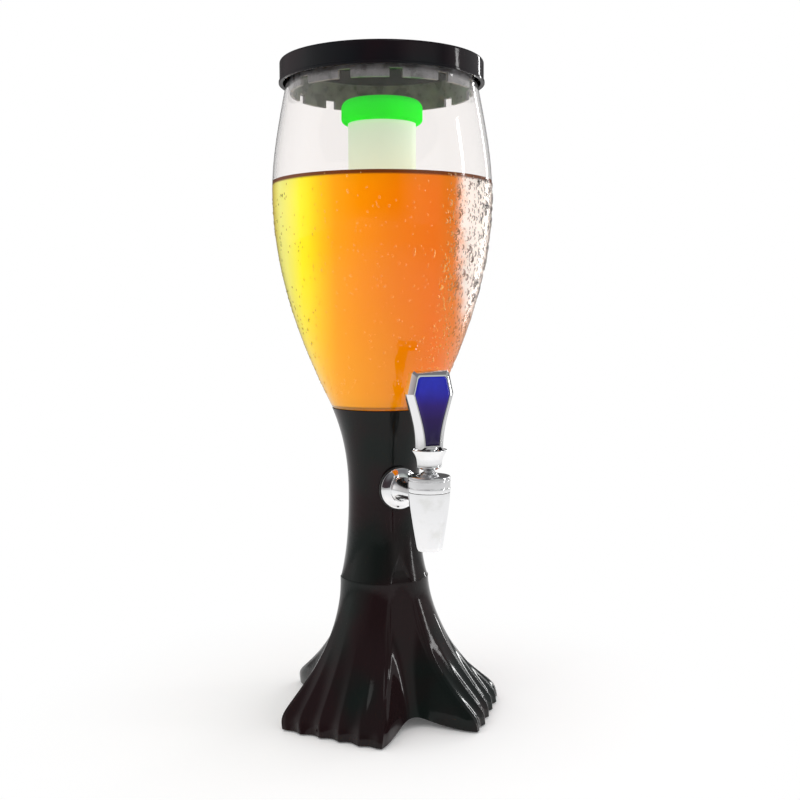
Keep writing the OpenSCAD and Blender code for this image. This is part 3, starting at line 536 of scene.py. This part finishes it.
turnings = Finish("turned_steel")
turning_place = turnings.place()
turning_marks = turnings.noise(turning_place, 400, 3, (1, 1, 12))
turned_steel = turnings.show(turnings.principled(
    Base_Color=turnings.blend(turning_marks, (0.5, 0.51, 0.52), (0.66, 0.66, 0.67)),
    Metallic=1.0, Roughness=turning_marks * 0.15 + 0.22,
    Normal=turnings.bump(turning_marks, 0.00005, 0.5)))
refinish(turned_steel, "base_screws", "pivot_pin", "tap_lever", "valve_shaft", "shaft_nut")


# ------------------------------------------------------------------- the tank
# Blown clear plastic: a goblet with an open neck that screws into the column.
# Its polished wall shows the drink, with cold dew on the outside.
rim_z, mouth_r = 481, 71
belly_z, belly_r = 390, 81.3
tank_wall = 2.4
lid_z = 468.5
neck_r, neck_in, neck_low = 28.5, 25.8, seam_z - 17
tank_side = (
    curve((seam_r, seam_z + 0.5), (61, 277), (belly_r, belly_z - 60), (belly_r, belly_z), 44)
    + curve((belly_r, belly_z), (belly_r, belly_z + 25), (mouth_r + 5, lid_z - 28.5),
            (mouth_r, lid_z - 2.5), 26)[1:]
)


def tank_at(z):
    """The tank's outer radius at a height."""
    for (r0, z0), (r1, z1) in zip(tank_side, tank_side[1:]):
        if z0 <= z <= z1:
            return r0 + (r1 - r0) * (z - z0) / (z1 - z0)
    return tank_side[0][0] if z < tank_side[0][1] else mouth_r


inside_foot, rim_bead, rim_round = seam_z + 3, 1.1, 0.4
inside_side = [(r - tank_wall, z) for r, z in tank_side if z > inside_foot + 2]
tank_shape = turned(
    [(neck_in, neck_low), (neck_r, neck_low), (neck_r, seam_z), (seam_r - 0.5, seam_z)] + tank_side
    + [(mouth_r, rim_z - 3.4), (mouth_r + rim_bead, rim_z - 2.6), (mouth_r + rim_bead, rim_z - 0.6),
       (mouth_r + rim_round, rim_z), (mouth_r - tank_wall + rim_round, rim_z),
       (mouth_r - tank_wall, rim_z - rim_round)]
    + inside_side[::-1]
    + [(tank_at(inside_foot) - tank_wall - 0.6, inside_foot), (neck_in, inside_foot)], 192)

ribs, rib_turn, rib_t = 3, 30, 2.6
rib_in, rib_top, tube_seat_r = 19.1, 240, 25.4


def rib(angle):
    """One of the three inner ribs that the cooling tube stands on."""
    outline = [(rib_in, rib_top - 3), (rib_in, rib_top), (tube_seat_r, rib_top),
               (tube_seat_r, rib_top + 7), (tube_seat_r + 2, rib_top + 7.5),
               (tank_at(rib_top + 1) - 1, rib_top + 1), (tank_at(235) - 1, seam_z + 1.5),
               (neck_in + 1, seam_z + 1.5), (neck_in + 1, seam_z - 9)]
    turn = Matrix.Rotation(math.radians(angle), 4, "Z")
    points = [turn @ Vector((r, y, z)) for y in (-rib_t / 2, rib_t / 2) for r, z in outline]
    n = len(outline)
    faces = [tuple(range(n)), tuple(range(2 * n - 1, n - 1, -1))]
    faces += [(i, (i + 1) % n, n + (i + 1) % n, n + i) for i in range(n)]
    return points, faces


clear = Finish("tank_clear")
clear_axes = clear.parts(clear.place())
clear_side = clear_axes["X"] * to_right.x + clear_axes["Y"] * to_right.y
fogged = clear.ease(clear_side, 0.034, 0.056) * clear.ease(clear_axes["Z"], 0.40, 0.393)
wall_glass = clear.principled(
    Base_Color=(0.97, 0.95, 0.94), Roughness=fogged * 0.22 + 0.02, IOR=1.46,
    Specular_IOR_Level=0.1, Transmission_Weight=1.0)
let_through = clear.node("ShaderNodeBsdfTransparent", {}, {"Color": (1, 1, 1, 1)})
clear_ray = clear.node("ShaderNodeLightPath")
tank_clear = clear.show(clear.mix(clear_ray["Is Shadow Ray"], wall_glass, let_through))
rib_shapes = [rib(rib_turn + 360 / ribs * k) for k in range(ribs)]
tank = solid("tank_wall", *joined(tank_shape, *rib_shapes))
piece(tank, "stand", "tank_clear", tank_clear, "tank")


# ------------------------------------------------------------------ the drink
# A golden lager up to the fill line, round the cooling tube, with a painted
# brown shadow line at its edge. Its colour holds painted light: yellow on the
# left, where light comes through it, and orange to the right, with painted
# shade at its sides and a painted glow. Mist lies on the wall to the right of
# the tap, painted on the drink and partly a painted reflection.
beer_z = 397
tube_r = 25.1
into_wall, into_tube, climb = 0.35, 0.3, 0.9
beer_low, beer_foot = neck_low + 2, inside_foot - 0.2
beer_side = [(r - tank_wall + into_wall, z) for r, z in tank_side if inside_foot + 2 < z < beer_z]
beer_edge_r = tank_at(beer_z) - tank_wall + into_wall
beer_shape = turned(
    [(0, beer_low), (neck_in + 0.2, beer_low), (neck_in + 0.2, beer_foot),
     (tank_at(beer_foot) - tank_wall + 0.2, beer_foot)] + beer_side
    + [(beer_edge_r, beer_z), (beer_edge_r, beer_z + climb), (beer_edge_r - 1.2, beer_z + 0.2),
       (beer_edge_r - 3, beer_z), (tube_r + 2, beer_z), (tube_r - into_tube, beer_z + climb - 0.1),
       (tube_r - into_tube, rib_top + 5), (0, rib_top + 5)], 160)
lager = Finish("lager")
lager_place = lager.place()
lager_axes = lager.parts(lager_place)
lager_side = lager_axes["X"] * to_right.x + lager_axes["Y"] * to_right.y
lager_front = lager_axes["X"] * to_eye.x + lager_axes["Y"] * to_eye.y
lager_reach = (lager_side ** 2 + lager_front ** 2) ** 0.5
lager_high = lager_axes["Z"]
from_left = lager_side * (0.5 / (belly_r * MM)) + 0.5
# Painted light: the drink is painted pale yellow at its left, as if light came through it there,
# deepening to orange on the right; it stays fixed on the drink from every side.
lager_colour_and_painted_light = lager.ramp(from_left, [
    (0.000, (0.83, 0.67, 0.045)), (0.02, (0.88, 0.73, 0.11)), (0.06, (0.93, 0.91, 0.27)),
    (0.11, (0.95, 0.89, 0.14)), (0.16, (1.0, 0.92, 0.006)), (0.20, (1.0, 0.80, 0.0)),
    (0.25, (1.0, 0.61, 0.0)), (0.31, (1.0, 0.43, 0.0)), (0.425, (0.95, 0.33, 0.0)),
    (0.575, (0.91, 0.255, 0.0)), (0.725, (0.85, 0.20, 0.0)), (0.81, (0.75, 0.215, 0.012)),
    (0.86, (0.73, 0.36, 0.17)),
])
# Painted glow: the lower left of the drink is painted a warmer gold.
low_glow = lager.ease(lager_high, 0.33, 0.24) * lager.ease(lager_side, 0.04, 0.0)
low_gold, mist_and_reflection_pale, painted_limb_shade = (1.0, 0.50, 0.0), (0.93, 0.87, 0.82), (0.40, 0.17, 0.04)
lager_colour_and_painted_light = lager.blend(low_glow * 0.35, lager_colour_and_painted_light, low_gold)
cloud = lager.noise(lager_place, 130, 4)
# Mist painted onto the drink's skin to the right of the tap: its pale band is partly dew and partly a
# painted reflection of a softbox on the right.
mist_and_reflection = lager.ease(lager_side + cloud * 0.012, 0.056, 0.067) * lager.ease(lager_high, 0.285, 0.315)
mist_and_reflection = mist_and_reflection * lager.ease(lager_front + cloud * 0.012, -0.03, 0.0)
lager_colour_and_painted_light = lager.blend(mist_and_reflection * 0.95, lager_colour_and_painted_light, mist_and_reflection_pale)
# Painted shade: brown towards the drink's left and right edges as seen from the front.
limb = lager.node("ShaderNodeMath", {"operation": "ABSOLUTE"}, {0: lager_side / lager_reach})
lager_colour_and_painted_light = lager.blend(lager.ease(limb, 0.955, 0.995) * 0.25, lager_colour_and_painted_light, painted_limb_shade)
at_wall = lager.ease(lager_reach, (beer_edge_r - 2.5) * MM, (beer_edge_r - 1.0) * MM)
on_top = lager.ease(lager_high, (beer_z - 1.0) * MM, (beer_z - 0.4) * MM) * (1 - at_wall)
top_gold = lager.blend(lager.ease(cloud, 0.4, 0.65), (0.90, 0.42, 0.02), (0.95, 0.60, 0.14))
lager_colour_and_painted_light = lager.blend(on_top, lager_colour_and_painted_light, top_gold)
edge_line = lager.ease(lager_high, (beer_z - 2.8) * MM, (beer_z - 1.0) * MM) * at_wall
lager_tone_and_painted_light = lager.blend(edge_line, lager_colour_and_painted_light, (0.16, 0.04, 0.006))
# Painted glow: the drink also emits its painted colour, standing in for light that comes through it.
lager_skin = lager.show(lager.principled(
    Base_Color=lager_tone_and_painted_light, Roughness=0.4, Specular_IOR_Level=0.0,
    Emission_Color=lager_tone_and_painted_light, Emission_Strength=0.26))
beer = solid("lager_fill", *beer_shape)
piece(beer, "stand", "tank_clear", lager_skin)


# ------------------------------------------------------------------- the dew
# Cold droplets on the tank's outside: a few large beads and many specks, most
# of them on the tap's side of the wall where the mist gathers.
random.seed(11)
bead_count, bead_height = 2600, 0.5
misted_share, misted_from, misted_to, dew_low = 0.55, 34, 98, 242
spokes, levels = 8, 3


def bead(place, out, up, radius, tall):
    """A flattened drop on the wall, drawn a little downwards."""
    side = up.cross(out)
    points, faces = [], []
    for k in range(levels):
        lift = math.radians(90 * k / levels)
        for i in range(spokes):
            a = 2 * math.pi * i / spokes
            wide = radius * math.cos(lift)
            points.append(place + side * (wide * math.cos(a)) + up * (wide * tall * math.sin(a))
                          + out * (radius * bead_height * math.sin(lift)))
    points.append(place + out * (radius * bead_height))
    for k in range(levels - 1):
        for i in range(spokes):
            j = (i + 1) % spokes
            low, top = k * spokes, (k + 1) * spokes
            faces.append((low + i, low + j, top + j, top + i))
    tip, last = len(points) - 1, (levels - 1) * spokes
    faces += [(last + i, last + (i + 1) % spokes, tip) for i in range(spokes)]
    return points, faces


def on_wall(bearing, z, radius, tall):
    """A bead at a bearing and height on the tank's outside."""
    turn = math.radians(bearing)
    flat = to_right * math.sin(turn) + to_eye * math.cos(turn)
    slope = (tank_at(z + 1) - tank_at(z - 1)) / 2
    up = (flat * slope + Vector((0, 0, 1))).normalized()
    out = (flat - Vector((0, 0, slope))).normalized()
    return bead(flat * (tank_at(z) - 0.05) + Vector((0, 0, z)), out, up, radius, tall)


running_drops = ((17, 343, 1.2, 2.8), (28, 342, 1.4, 2.2), (25, 334, 0.8, 2.4))


def drops():
    """Beads over the wetted wall; bearing 0 faces the eye and 90 its right."""
    shapes = []
    for _ in range(bead_count):
        misted = random.random() < misted_share
        bearing = random.uniform(misted_from, misted_to) if misted else random.uniform(-180, 180)
        z = random.uniform(dew_low, beer_z - 1)
        if misted and random.random() > (z - 230) / 90:
            continue
        big = random.random() ** 4
        radius = 0.45 + 0.35 * random.random() + (1.3 * big if misted and z > 310 else 0.3 * big)
        shapes.append(on_wall(bearing, z, radius, random.uniform(1.0, 1.4)))
    for bearing, z, radius, tall in running_drops:
        shapes.append(on_wall(bearing, z, radius, tall))
    return joined(*shapes)


dew = Finish("dew")
dew_axes = dew.parts(dew.place())
dew_side = dew_axes["X"] * to_right.x + dew_axes["Y"] * to_right.y
facing = dew.node("ShaderNodeLayerWeight", {}, {"Blend": 0.5})["Facing"]
# Painted light and shade on the drops: their rims are painted dark, as a drop's edge looks, in tones by
# side that follow the drink's painted light, orange in front.
rim_painted_shade_and_glint = dew.ramp(dew_side * (0.5 / (belly_r * MM)) + 0.5, [
    (0.0, (0.10, 0.07, 0.01)), (0.2, (0.28, 0.20, 0.01)), (0.32, (1.0, 0.62, 0.16)),
    (0.76, (1.0, 0.52, 0.12)), (0.84, (0.22, 0.09, 0.04)), (0.93, (0.05, 0.04, 0.035)),
])
drop_rim = dew.principled(Base_Color=rim_painted_shade_and_glint, Roughness=0.2, Specular_IOR_Level=0.3)
drop_clear = dew.principled(
    Base_Color=(1, 1, 1), Roughness=0.0, IOR=1.33, Transmission_Weight=1.0)
dew_through = dew.node("ShaderNodeBsdfTransparent")
water = dew.mix(dew.ease(facing, 0.10, 0.42) * 0.9, drop_clear, drop_rim)
dew_skin = dew.show(dew.mix(dew.node("ShaderNodeLightPath")["Is Shadow Ray"], water, dew_through))
piece(solid("dew_drops", *drops(), sharp=80), "stand", "tank_clear", dew_skin)


# -------------------------------------------------------------------- the lid
# A gloss black plug lid: its skirt hangs outside the mouth, and a greyer ring
# with slots in its lower edge plugs the inside and carries the silicone seal.
lid_r, lid_top, lid_wall = 75, 485, 2.2
lid_crown, crown_wall, seal_r = 5, 2.2, 61.8
lid_seat = rim_z + 0.2
plug_r, plug_wall = 68.0, 2.2
plug_low = rim_z - 20
slots, slot_w, slot_deep = 12, 9, 6


def slotted_ring(r_in, r_out, low, high, count, width, deep):
    """A ring whose lower edge has square slots."""
    step = 360 / count
    half = math.degrees(width / 2 / r_out)
    tooth = step / 2 - half
    edges = []
    for k in range(count):
        edges += [(k * step - tooth + tooth * i / 4, low) for i in range(9)]
        edges += [((k + 0.5) * step - half + half * i / 2, low + deep) for i in range(5)]
    points, faces = [], []
    for angle, z in edges:
        a = math.radians(angle)
        for r, level in ((r_in, z), (r_out, z), (r_out, high), (r_in, high)):
            points.append((r * math.cos(a), r * math.sin(a), level))
    n = len(edges)
    for i in range(n):
        a, b = 4 * i, 4 * ((i + 1) % n)
        for k in range(4):
            faces.append((a + k, a + (k + 1) % 4, b + (k + 1) % 4, b + k))
    return points, faces


crown_z, under_z = lid_top + lid_crown, lid_top + lid_crown - crown_wall
lid_outline = (
    [(lid_r - lid_wall, lid_z + 0.4)] + arc(lid_r + 0.3, lid_z + 0.4, 0.4, -90, 0)
    + arc(lid_r + 0.3, lid_z + 1.4, 0.4, 0, 90) + [(lid_r, lid_z + 2.2)]
    + arc(lid_r - 2, lid_top - 2, 2, 0, 84)
    + curve((lid_r - 4, lid_top + 0.25), (lid_r - 30, lid_top + 3), (24, crown_z), (0, crown_z), 20)
    + curve((0, under_z), (22, under_z), (41, lid_top + 0.8), (seal_r, lid_seat), 16)
    + [(lid_r - lid_wall, lid_seat)]
)
lid_black = black_moulding("lid_black", (0.011, 0.006, 0.008), (0.006, 0.007, 0.0085))
ring_dark = Finish("plug_ring")
ring_place = ring_dark.place()
ring_tone = ring_dark.ease(ring_dark.noise(ring_place, 90, 4), 0.35, 0.65)
plug_grey = ring_dark.show(ring_dark.principled(
    Base_Color=ring_dark.blend(ring_tone, (0.14, 0.14, 0.148), (0.26, 0.265, 0.28)),
    Roughness=ring_tone * 0.15 + 0.25, Normal=ring_dark.bump(ring_dark.noise(ring_place, 300), 0.0001)))
lid = solid("lid_moulding", *turned(lid_outline, 192))
piece(lid, "lid", "lid_black", lid_black, "lid")
plug = solid("lid_plug_ring", *slotted_ring(plug_r - plug_wall, plug_r, plug_low, lid_seat + 0.2,
                                            slots, slot_w, slot_deep))
piece(plug, "lid", "lid_black", plug_grey, "lid")

silicone = Finish("silicone")
silicone_place = silicone.place()
silicone_pale = silicone.show(silicone.principled(
    Base_Color=silicone.blend(silicone.noise(silicone_place, 60), (0.5, 0.51, 0.5), (0.66, 0.66, 0.65)),
    Roughness=0.45, Normal=silicone.bump(silicone.noise(silicone_place, 900), 0.00005)))
refinish(silicone_pale, "lid_seal", "cap_gasket")


# ------------------------------------------------- the cooling tube and its cap
# A frosted plastic tube for ice, closed at its foot. The green cap on top is a
# moulded lamp: lights under its board shine down through it into the tube,
# whose glow and greener top are painted on it.
tube_foot, tube_top, tube_wall = rib_top + 0.2, 445.5, 2
foot_round, lip_round = 3, 0.4
tube_shape = turned(
    [(0, tube_foot)]
    + arc(tube_r - foot_round, tube_foot + foot_round, foot_round, -90, 0)
    + [(tube_r, tube_top - lip_round)]
    + arc(tube_r - lip_round, tube_top - lip_round, lip_round, 0, 90, 3)
    + [(tube_r - tube_wall, tube_top)]
    + arc(tube_r - foot_round, tube_foot + foot_round, foot_round - tube_wall, 0, -90)
    + [(0, tube_foot + tube_wall)])
frosted = Finish("tube_frosted")
frosted_place = frosted.place()
# Painted light: the tube is painted greener towards its top, under the lamp cap, and emits its own
# colour, so it glows though it is no lamp.
frosted_high = frosted.ease(frosted.parts(frosted_place)["Z"], 0.36, (tube_top - 5.5) * MM)
frosted_grain = frosted.noise(frosted_place, 600, 3)
frosted_tone_and_painted_glow = frosted.blend(frosted_high, (0.64, 0.68, 0.58), (0.58, 0.70, 0.56))
tube_frosted = frosted.show(frosted.principled(
    Base_Color=frosted_tone_and_painted_glow, Roughness=frosted_grain * 0.2 + 0.35, Specular_IOR_Level=0.1,
    Emission_Color=frosted_tone_and_painted_glow, Emission_Strength=0.5,
    Normal=frosted.bump(frosted_grain, 0.00005)))
piece(solid("frosted_tube", *tube_shape), "ice_tube", "tube_frosted", tube_frosted, "ice_tube")

cap_r, cap_z, cap_top = 30, 440, 457
cap_low_round, cap_top_round = 3.6, 6
cap_bore_r, deck_low, deck_z = tube_r + 0.3, 446.9, 448.5
board_r, board_z = 26.2, 450.6
recess_r, cover_z, cover_r, button_hole_r = 27.6, cap_top - 2, 28.1, 4.45
cap_shape = turned(
    [(cap_bore_r, cap_z)]
    + arc(cap_r - cap_low_round, cap_z + cap_low_round, cap_low_round, -90, 0)
    + arc(cap_r - cap_top_round, cap_top - cap_top_round, cap_top_round, 0, 45.6)
    + [(cover_r + 0.1, cover_z), (recess_r, cover_z), (recess_r, board_z), (board_r, board_z),
       (board_r, deck_z), (0, deck_z), (0, deck_low), (cap_bore_r, deck_low)], 128)
cover_shape = turned(
    [(button_hole_r, cover_z), (cover_r, cover_z)]
    + arc(cap_r - cap_top_round, cap_top - cap_top_round, cap_top_round, 46.5, 90)
    + [(button_hole_r, cap_top)], 128)
lampshade = Finish("lamp_green")
lamp_place = lampshade.place()
lamp_tone = lampshade.ease(lampshade.noise(lamp_place, 45, 3), 0.3, 0.7)
lamp_high = lampshade.ease(lampshade.parts(lamp_place)["Z"], cap_z * MM, cap_top * MM)
lamp_colour = lampshade.blend(lamp_tone, (0.0, 0.66, 0.0), (0.0, 0.80, 0.0))
lamp_colour = lampshade.blend(lamp_high * 0.5, lamp_colour, (0.0, 0.80, 0.02))
lamp_green = lampshade.show(lampshade.principled(
    Base_Color=lamp_colour, Roughness=0.3, Specular_IOR_Level=0.0,
    Emission_Color=lamp_colour, Emission_Strength=0.6))
piece(solid("lamp_cap", *cap_shape), "light_cap", "lamp_green", lamp_green, "light_cap")
piece(solid("lamp_cover", *cover_shape), "light_cap", "lamp_green", lamp_green, "cap_cover")


# ------------------------------------------------------------ the lamp's inside
# A board with lights under it, coin cells in brass clips, and a clear button
# that comes up through the cover. Their shapes are the CAD's own.
def plain_finish(name, dark, pale, scale, rough, metal=0.0, glow=0.0):
    """A small part's finish: two close tones, uneven roughness, fine grain."""
    finish = Finish(name)
    place = finish.place()
    tone = finish.ease(finish.noise(place, scale, 4), 0.3, 0.7)
    colour = finish.blend(tone, dark, pale)
    values = {"Base_Color": colour, "Roughness": tone * 0.12 + rough, "Metallic": metal,
              "Normal": finish.bump(finish.noise(place, scale * 6), 0.00004)}
    if glow:
        values |= {"Emission_Color": colour, "Emission_Strength": glow}
    return finish.show(finish.principled(**values))


refinish(plain_finish("board_green", (0.02, 0.12, 0.04), (0.04, 0.2, 0.07), 120, 0.35), "led_board")
refinish(plain_finish("led_clear", (0.5, 1, 0.6), (0.8, 1, 0.85), 300, 0.1, glow=2.0), "leds")
refinish(plain_finish("cell_steel", (0.6, 0.61, 0.62), (0.75, 0.76, 0.77), 200, 0.25, 1.0),
         "battery_cells")
refinish(plain_finish("clip_brass", (0.62, 0.45, 0.18), (0.8, 0.62, 0.3), 200, 0.25, 1.0),
         "battery_clips")
# Painted glow: the clear button emits a little light of its own, standing in for the lamps' light coming
# through it.
refinish(plain_finish("button_clear", (0.4, 0.8, 0.45), (0.55, 0.92, 0.6), 90, 0.3, glow=0.3),
         "switch_button")


# --------------------------------------------------------------------- the tap
# Chromed castings: a domed escutcheon against the column, a tapered arm, a
# bowl that drops into the spout, and a round bonnet over the lever's ball.
valve_out = 80
valve_place = Matrix.Translation((0, -valve_out, 0))


def chrome_finish(name):
    """Polished chrome plate with the faintest haze of handling and casting ripple."""
    finish = Finish(name)
    place = finish.place()
    haze = finish.ease(finish.noise(place, 90, 5), 0.45, 0.8)
    ripple = finish.noise(place, 120, 1)
    return finish.show(finish.principled(
        Base_Color=finish.blend(haze, (0.90, 0.90, 0.91), (0.80, 0.80, 0.79)), Metallic=1.0,
        Roughness=haze * 0.1 + 0.03, Normal=finish.bump(ripple, 0.0001, 0.4)))


chrome = chrome_finish("chrome")
plate_out, plate_r, plate_hole_r, plate_t = 30, 15.2, 8.1, 4.2
plate_shape = turned(
    [(plate_hole_r, 0), (plate_r - 0.3, 0)] + arc(plate_r - 0.6, 0.9, 0.6, 0, 80, 5)
    + curve((plate_r - 1.0, 1.7), (plate_r - 3, 3.0), (12, 3.4), (9.3, plate_t), 16)
    + [(plate_hole_r, plate_t)], 128, along_tap(plate_out))
piece(solid("escutcheon", *plate_shape), "stand", "chrome", chrome, "tap_escutcheon")

shank_in, shank_r, shank_chamfer = 11, 7.5, 0.6
seat_r, seat_out, flow_r = 6.0, 19.35, 3.4
arm_out, shoulder_r = plate_out + plate_t, 9.1
arm_r, arm_end_r, arm_end = 6.1, 4.8, 67
arm_shape = turned(
    [(seat_r, shank_in), (shank_r - shank_chamfer, shank_in), (shank_r, shank_in + shank_chamfer),
     (shank_r, arm_out), (shoulder_r, arm_out)]
    + arc(shoulder_r - 0.6, arm_out + 0.8, 0.6, 0, 80, 4)
    + curve((8.3, arm_out + 1.9), (7.2, arm_out + 4.5), (6.6, arm_out + 9), (arm_r, arm_out + 13))
    + curve((arm_r, arm_out + 13), (5.5, arm_out + 19), (4.9, 58), (arm_end_r, arm_end - 2))[1:]
    + [(arm_end_r, arm_end), (flow_r, arm_end), (flow_r, seat_out), (seat_r, seat_out)],
    96, along_tap(0))

shaft_hole_r, guide_r, guide_out, guide_end = 1.85, 3.6, 85.95, 93
guide = turned([(shaft_hole_r, guide_out), (guide_r, guide_out), (guide_r, guide_end),
                (shaft_hole_r, guide_end)], 48, along_tap(0))

bonnet_z, bonnet_r, bonnet_top = 178.1, 14.75, 189.3
spout_z, spout_r, bowl_wall = 137, 8.9, 1.9
collar_r, collar_top = 12.6, 187.2
ball_room_r, ball_room_z = 10.1, 179
peg_hole_r, bowl_roof_r, bowl_roof = 7.4, 11, 178
spout_side = curve((spout_r, spout_z), (spout_r + 2.6, spout_z + 15),
                   (bonnet_r - 0.35, bonnet_z - 10), (bonnet_r - 0.15, bonnet_z - 0.3), 30)
bowl_shape = turned(
    [(spout_r - bowl_wall, spout_z + 0.4), (spout_r - 1.2, spout_z), (spout_r - 0.4, spout_z)]
    + spout_side[1:]
    + [(collar_r, bonnet_z), (collar_r, collar_top), (ball_room_r, collar_top),
       (ball_room_r, ball_room_z), (peg_hole_r, ball_room_z), (peg_hole_r, bowl_roof),
       (bowl_roof_r, bowl_roof)]
    + [(r - bowl_wall, z) for r, z in spout_side[::-1] if z < tap_z], 128, valve_place)
tap_casting = solid("tap_casting", *joined(arm_shape, guide, bowl_shape))
piece(tap_casting, "stand", "chrome", chrome, "tap_body")

bonnet_bore_r, lever_hole_r, bonnet_t = collar_r + 0.1, 7.4, 1.8
low_groove_z, top_groove_z = bonnet_z + 3.2, bonnet_top - 2.9
bonnet_shape = turned(
    [(bonnet_bore_r, bonnet_z), (bonnet_r - 0.5, bonnet_z)]
    + arc(bonnet_r - 0.4, bonnet_z + 0.4, 0.4, -90, 0, 3)
    + [(bonnet_r, low_groove_z - 0.6)] + arc(bonnet_r, low_groove_z, 0.45, 270, 90, 6)
    + [(bonnet_r, low_groove_z + 0.6), (bonnet_r, top_groove_z - 0.5)]
    + arc(bonnet_r, top_groove_z, 0.4, 270, 90, 6) + arc(bonnet_r - 1, bonnet_top - 1, 1, 0, 90)
    + [(lever_hole_r + 0.7, bonnet_top), (lever_hole_r, bonnet_top - 0.2),
       (lever_hole_r + 0.6, bonnet_top - bonnet_t), (bonnet_bore_r, bonnet_top - bonnet_t)],
    128, valve_place)
piece(solid("bonnet", *bonnet_shape), "stand", "chrome", chrome, "tap_bonnet")
refinish(chrome, "tap_lock_nut")


# ------------------------------------------------------------------ the handle
# A bevelled chrome paddle on a flared ferrule, with a domed gloss panel let
# into its face. The panel is plain: deep blue that darkens downwards.
ferrule_z, ferrule_top, ferrule_r = 193.6, 207.6, 12.4
handle_z, handle_top = 206.4, 262
neck_w, handle_w, handle_top_w = 18.6, 34.6, 27
shoulder_drop = 16
handle_t, bevel, pocket = 12, 3, 1.4
handle_front, handle_back = valve_out + handle_t / 2, valve_out - handle_t / 2
stud_r, stud_z, handle_foot_r = 3.65, ferrule_z + 4, 7

ferrule_shape = turned(
    [(stud_r, ferrule_z), (5.6, ferrule_z)] + arc(5.6, ferrule_z + 0.5, 0.5, -90, -20, 3)
    + [(8.4, ferrule_z + 1.5)] + arc(8.3, ferrule_z + 2, 0.5, -40, 20, 3)
    + curve((8.8, ferrule_z + 3.4), (8.8, ferrule_z + 8), (10.8, ferrule_top - 4),
            (12.0, ferrule_top - 1.5), 16)
    + arc(ferrule_r - 0.45, ferrule_top - 0.5, 0.45, -30, 120, 6)
    + [(11.1, ferrule_top - 0.2)]
    + curve((11.1, ferrule_top - 1), (9.8, ferrule_top - 3.4), (handle_foot_r + 0.5, stud_z + 4),
            (handle_foot_r + 0.5, stud_z), 12)
    + [(stud_r, stud_z)], 96, valve_place)
piece(solid("ferrule", *ferrule_shape), "handle", "chrome", chrome, "handle_ferrule")


def paddle(d, out):
    """The paddle's outline drawn in by d, at a distance out from the tower's axis."""
    side = curve((neck_w / 2 - d, handle_z + d), (neck_w / 2 + 0.3 - d, handle_z + 16),
                 (handle_w / 2 - 3.8 - d, handle_top - shoulder_drop - 14),
                 (handle_w / 2 - d, handle_top - shoulder_drop), 24)
    low = side[0]
    side = [(low[0] - 0.6, low[1])] + side
    side += [(handle_top_w / 2 + 0.5 - d * 0.8, handle_top - 1.4 - d),
             (handle_top_w / 2 - 1 - d * 0.8, handle_top - d)]
    outline = side + [(-x, z) for x, z in side[::-1]]
    return [(x, -out, z) for x, z in outline]


border = bevel + 0.9
handle_shape = lofted([
    paddle(bevel, handle_back), paddle(bevel - 0.3, handle_back), paddle(0.6, handle_back + 1.6),
    paddle(0.1, handle_back + 2.7), paddle(0, handle_back + 3.2), paddle(0, handle_front - bevel - 0.2),
    paddle(0.15, handle_front - bevel + 0.1), paddle(bevel - 0.15, handle_front - 0.1),
    paddle(bevel + 0.1, handle_front), paddle(border, handle_front),
    paddle(border, handle_front - pocket),
])
foot_top = handle_z + 3
handle_foot = turned([(0, stud_z), (handle_foot_r, stud_z), (handle_foot_r, foot_top), (0, foot_top)],
                     64, valve_place)
handle = solid("handle_casting", *joined(handle_shape, handle_foot), sharp=20)
piece(handle, "handle", "chrome", chrome, "tap_handle")

panel_shape = lofted([
    paddle(border + 0.1, handle_front - pocket), paddle(border + 0.1, handle_front - 0.3),
    paddle(border + 0.5, handle_front + 0.15), paddle(border + 1.4, handle_front + 0.45),
    paddle(border + 3.2, handle_front + 0.7),
])
enamel = Finish("handle_blue")
enamel_place = enamel.place()
enamel_high = enamel.parts(enamel_place)["Z"]
enamel_depth = enamel.ramp(enamel.ease(enamel_high, handle_z * MM, handle_top * MM), [
    (0.0, (0.012, 0.006, 0.03)), (0.35, (0.022, 0.008, 0.075)), (0.6, (0.03, 0.012, 0.17)),
    (0.85, (0.022, 0.022, 0.42)), (1.0, (0.02, 0.03, 0.52)),
])
enamel_cloud = enamel.noise(enamel_place, 120, 3)
handle_blue = enamel.show(enamel.principled(
    Base_Color=enamel.blend(enamel_cloud * 0.5, enamel_depth, (0.012, 0.01, 0.08)),
    Roughness=enamel_cloud * 0.06 + 0.05, Specular_IOR_Level=0.25, Coat_Weight=0.15,
    Normal=enamel.bump(enamel.noise(enamel_place, 400), 0.00002)))
piece(solid("handle_face", *panel_shape, sharp=50), "handle", "handle_blue", handle_blue, "handle_panel")
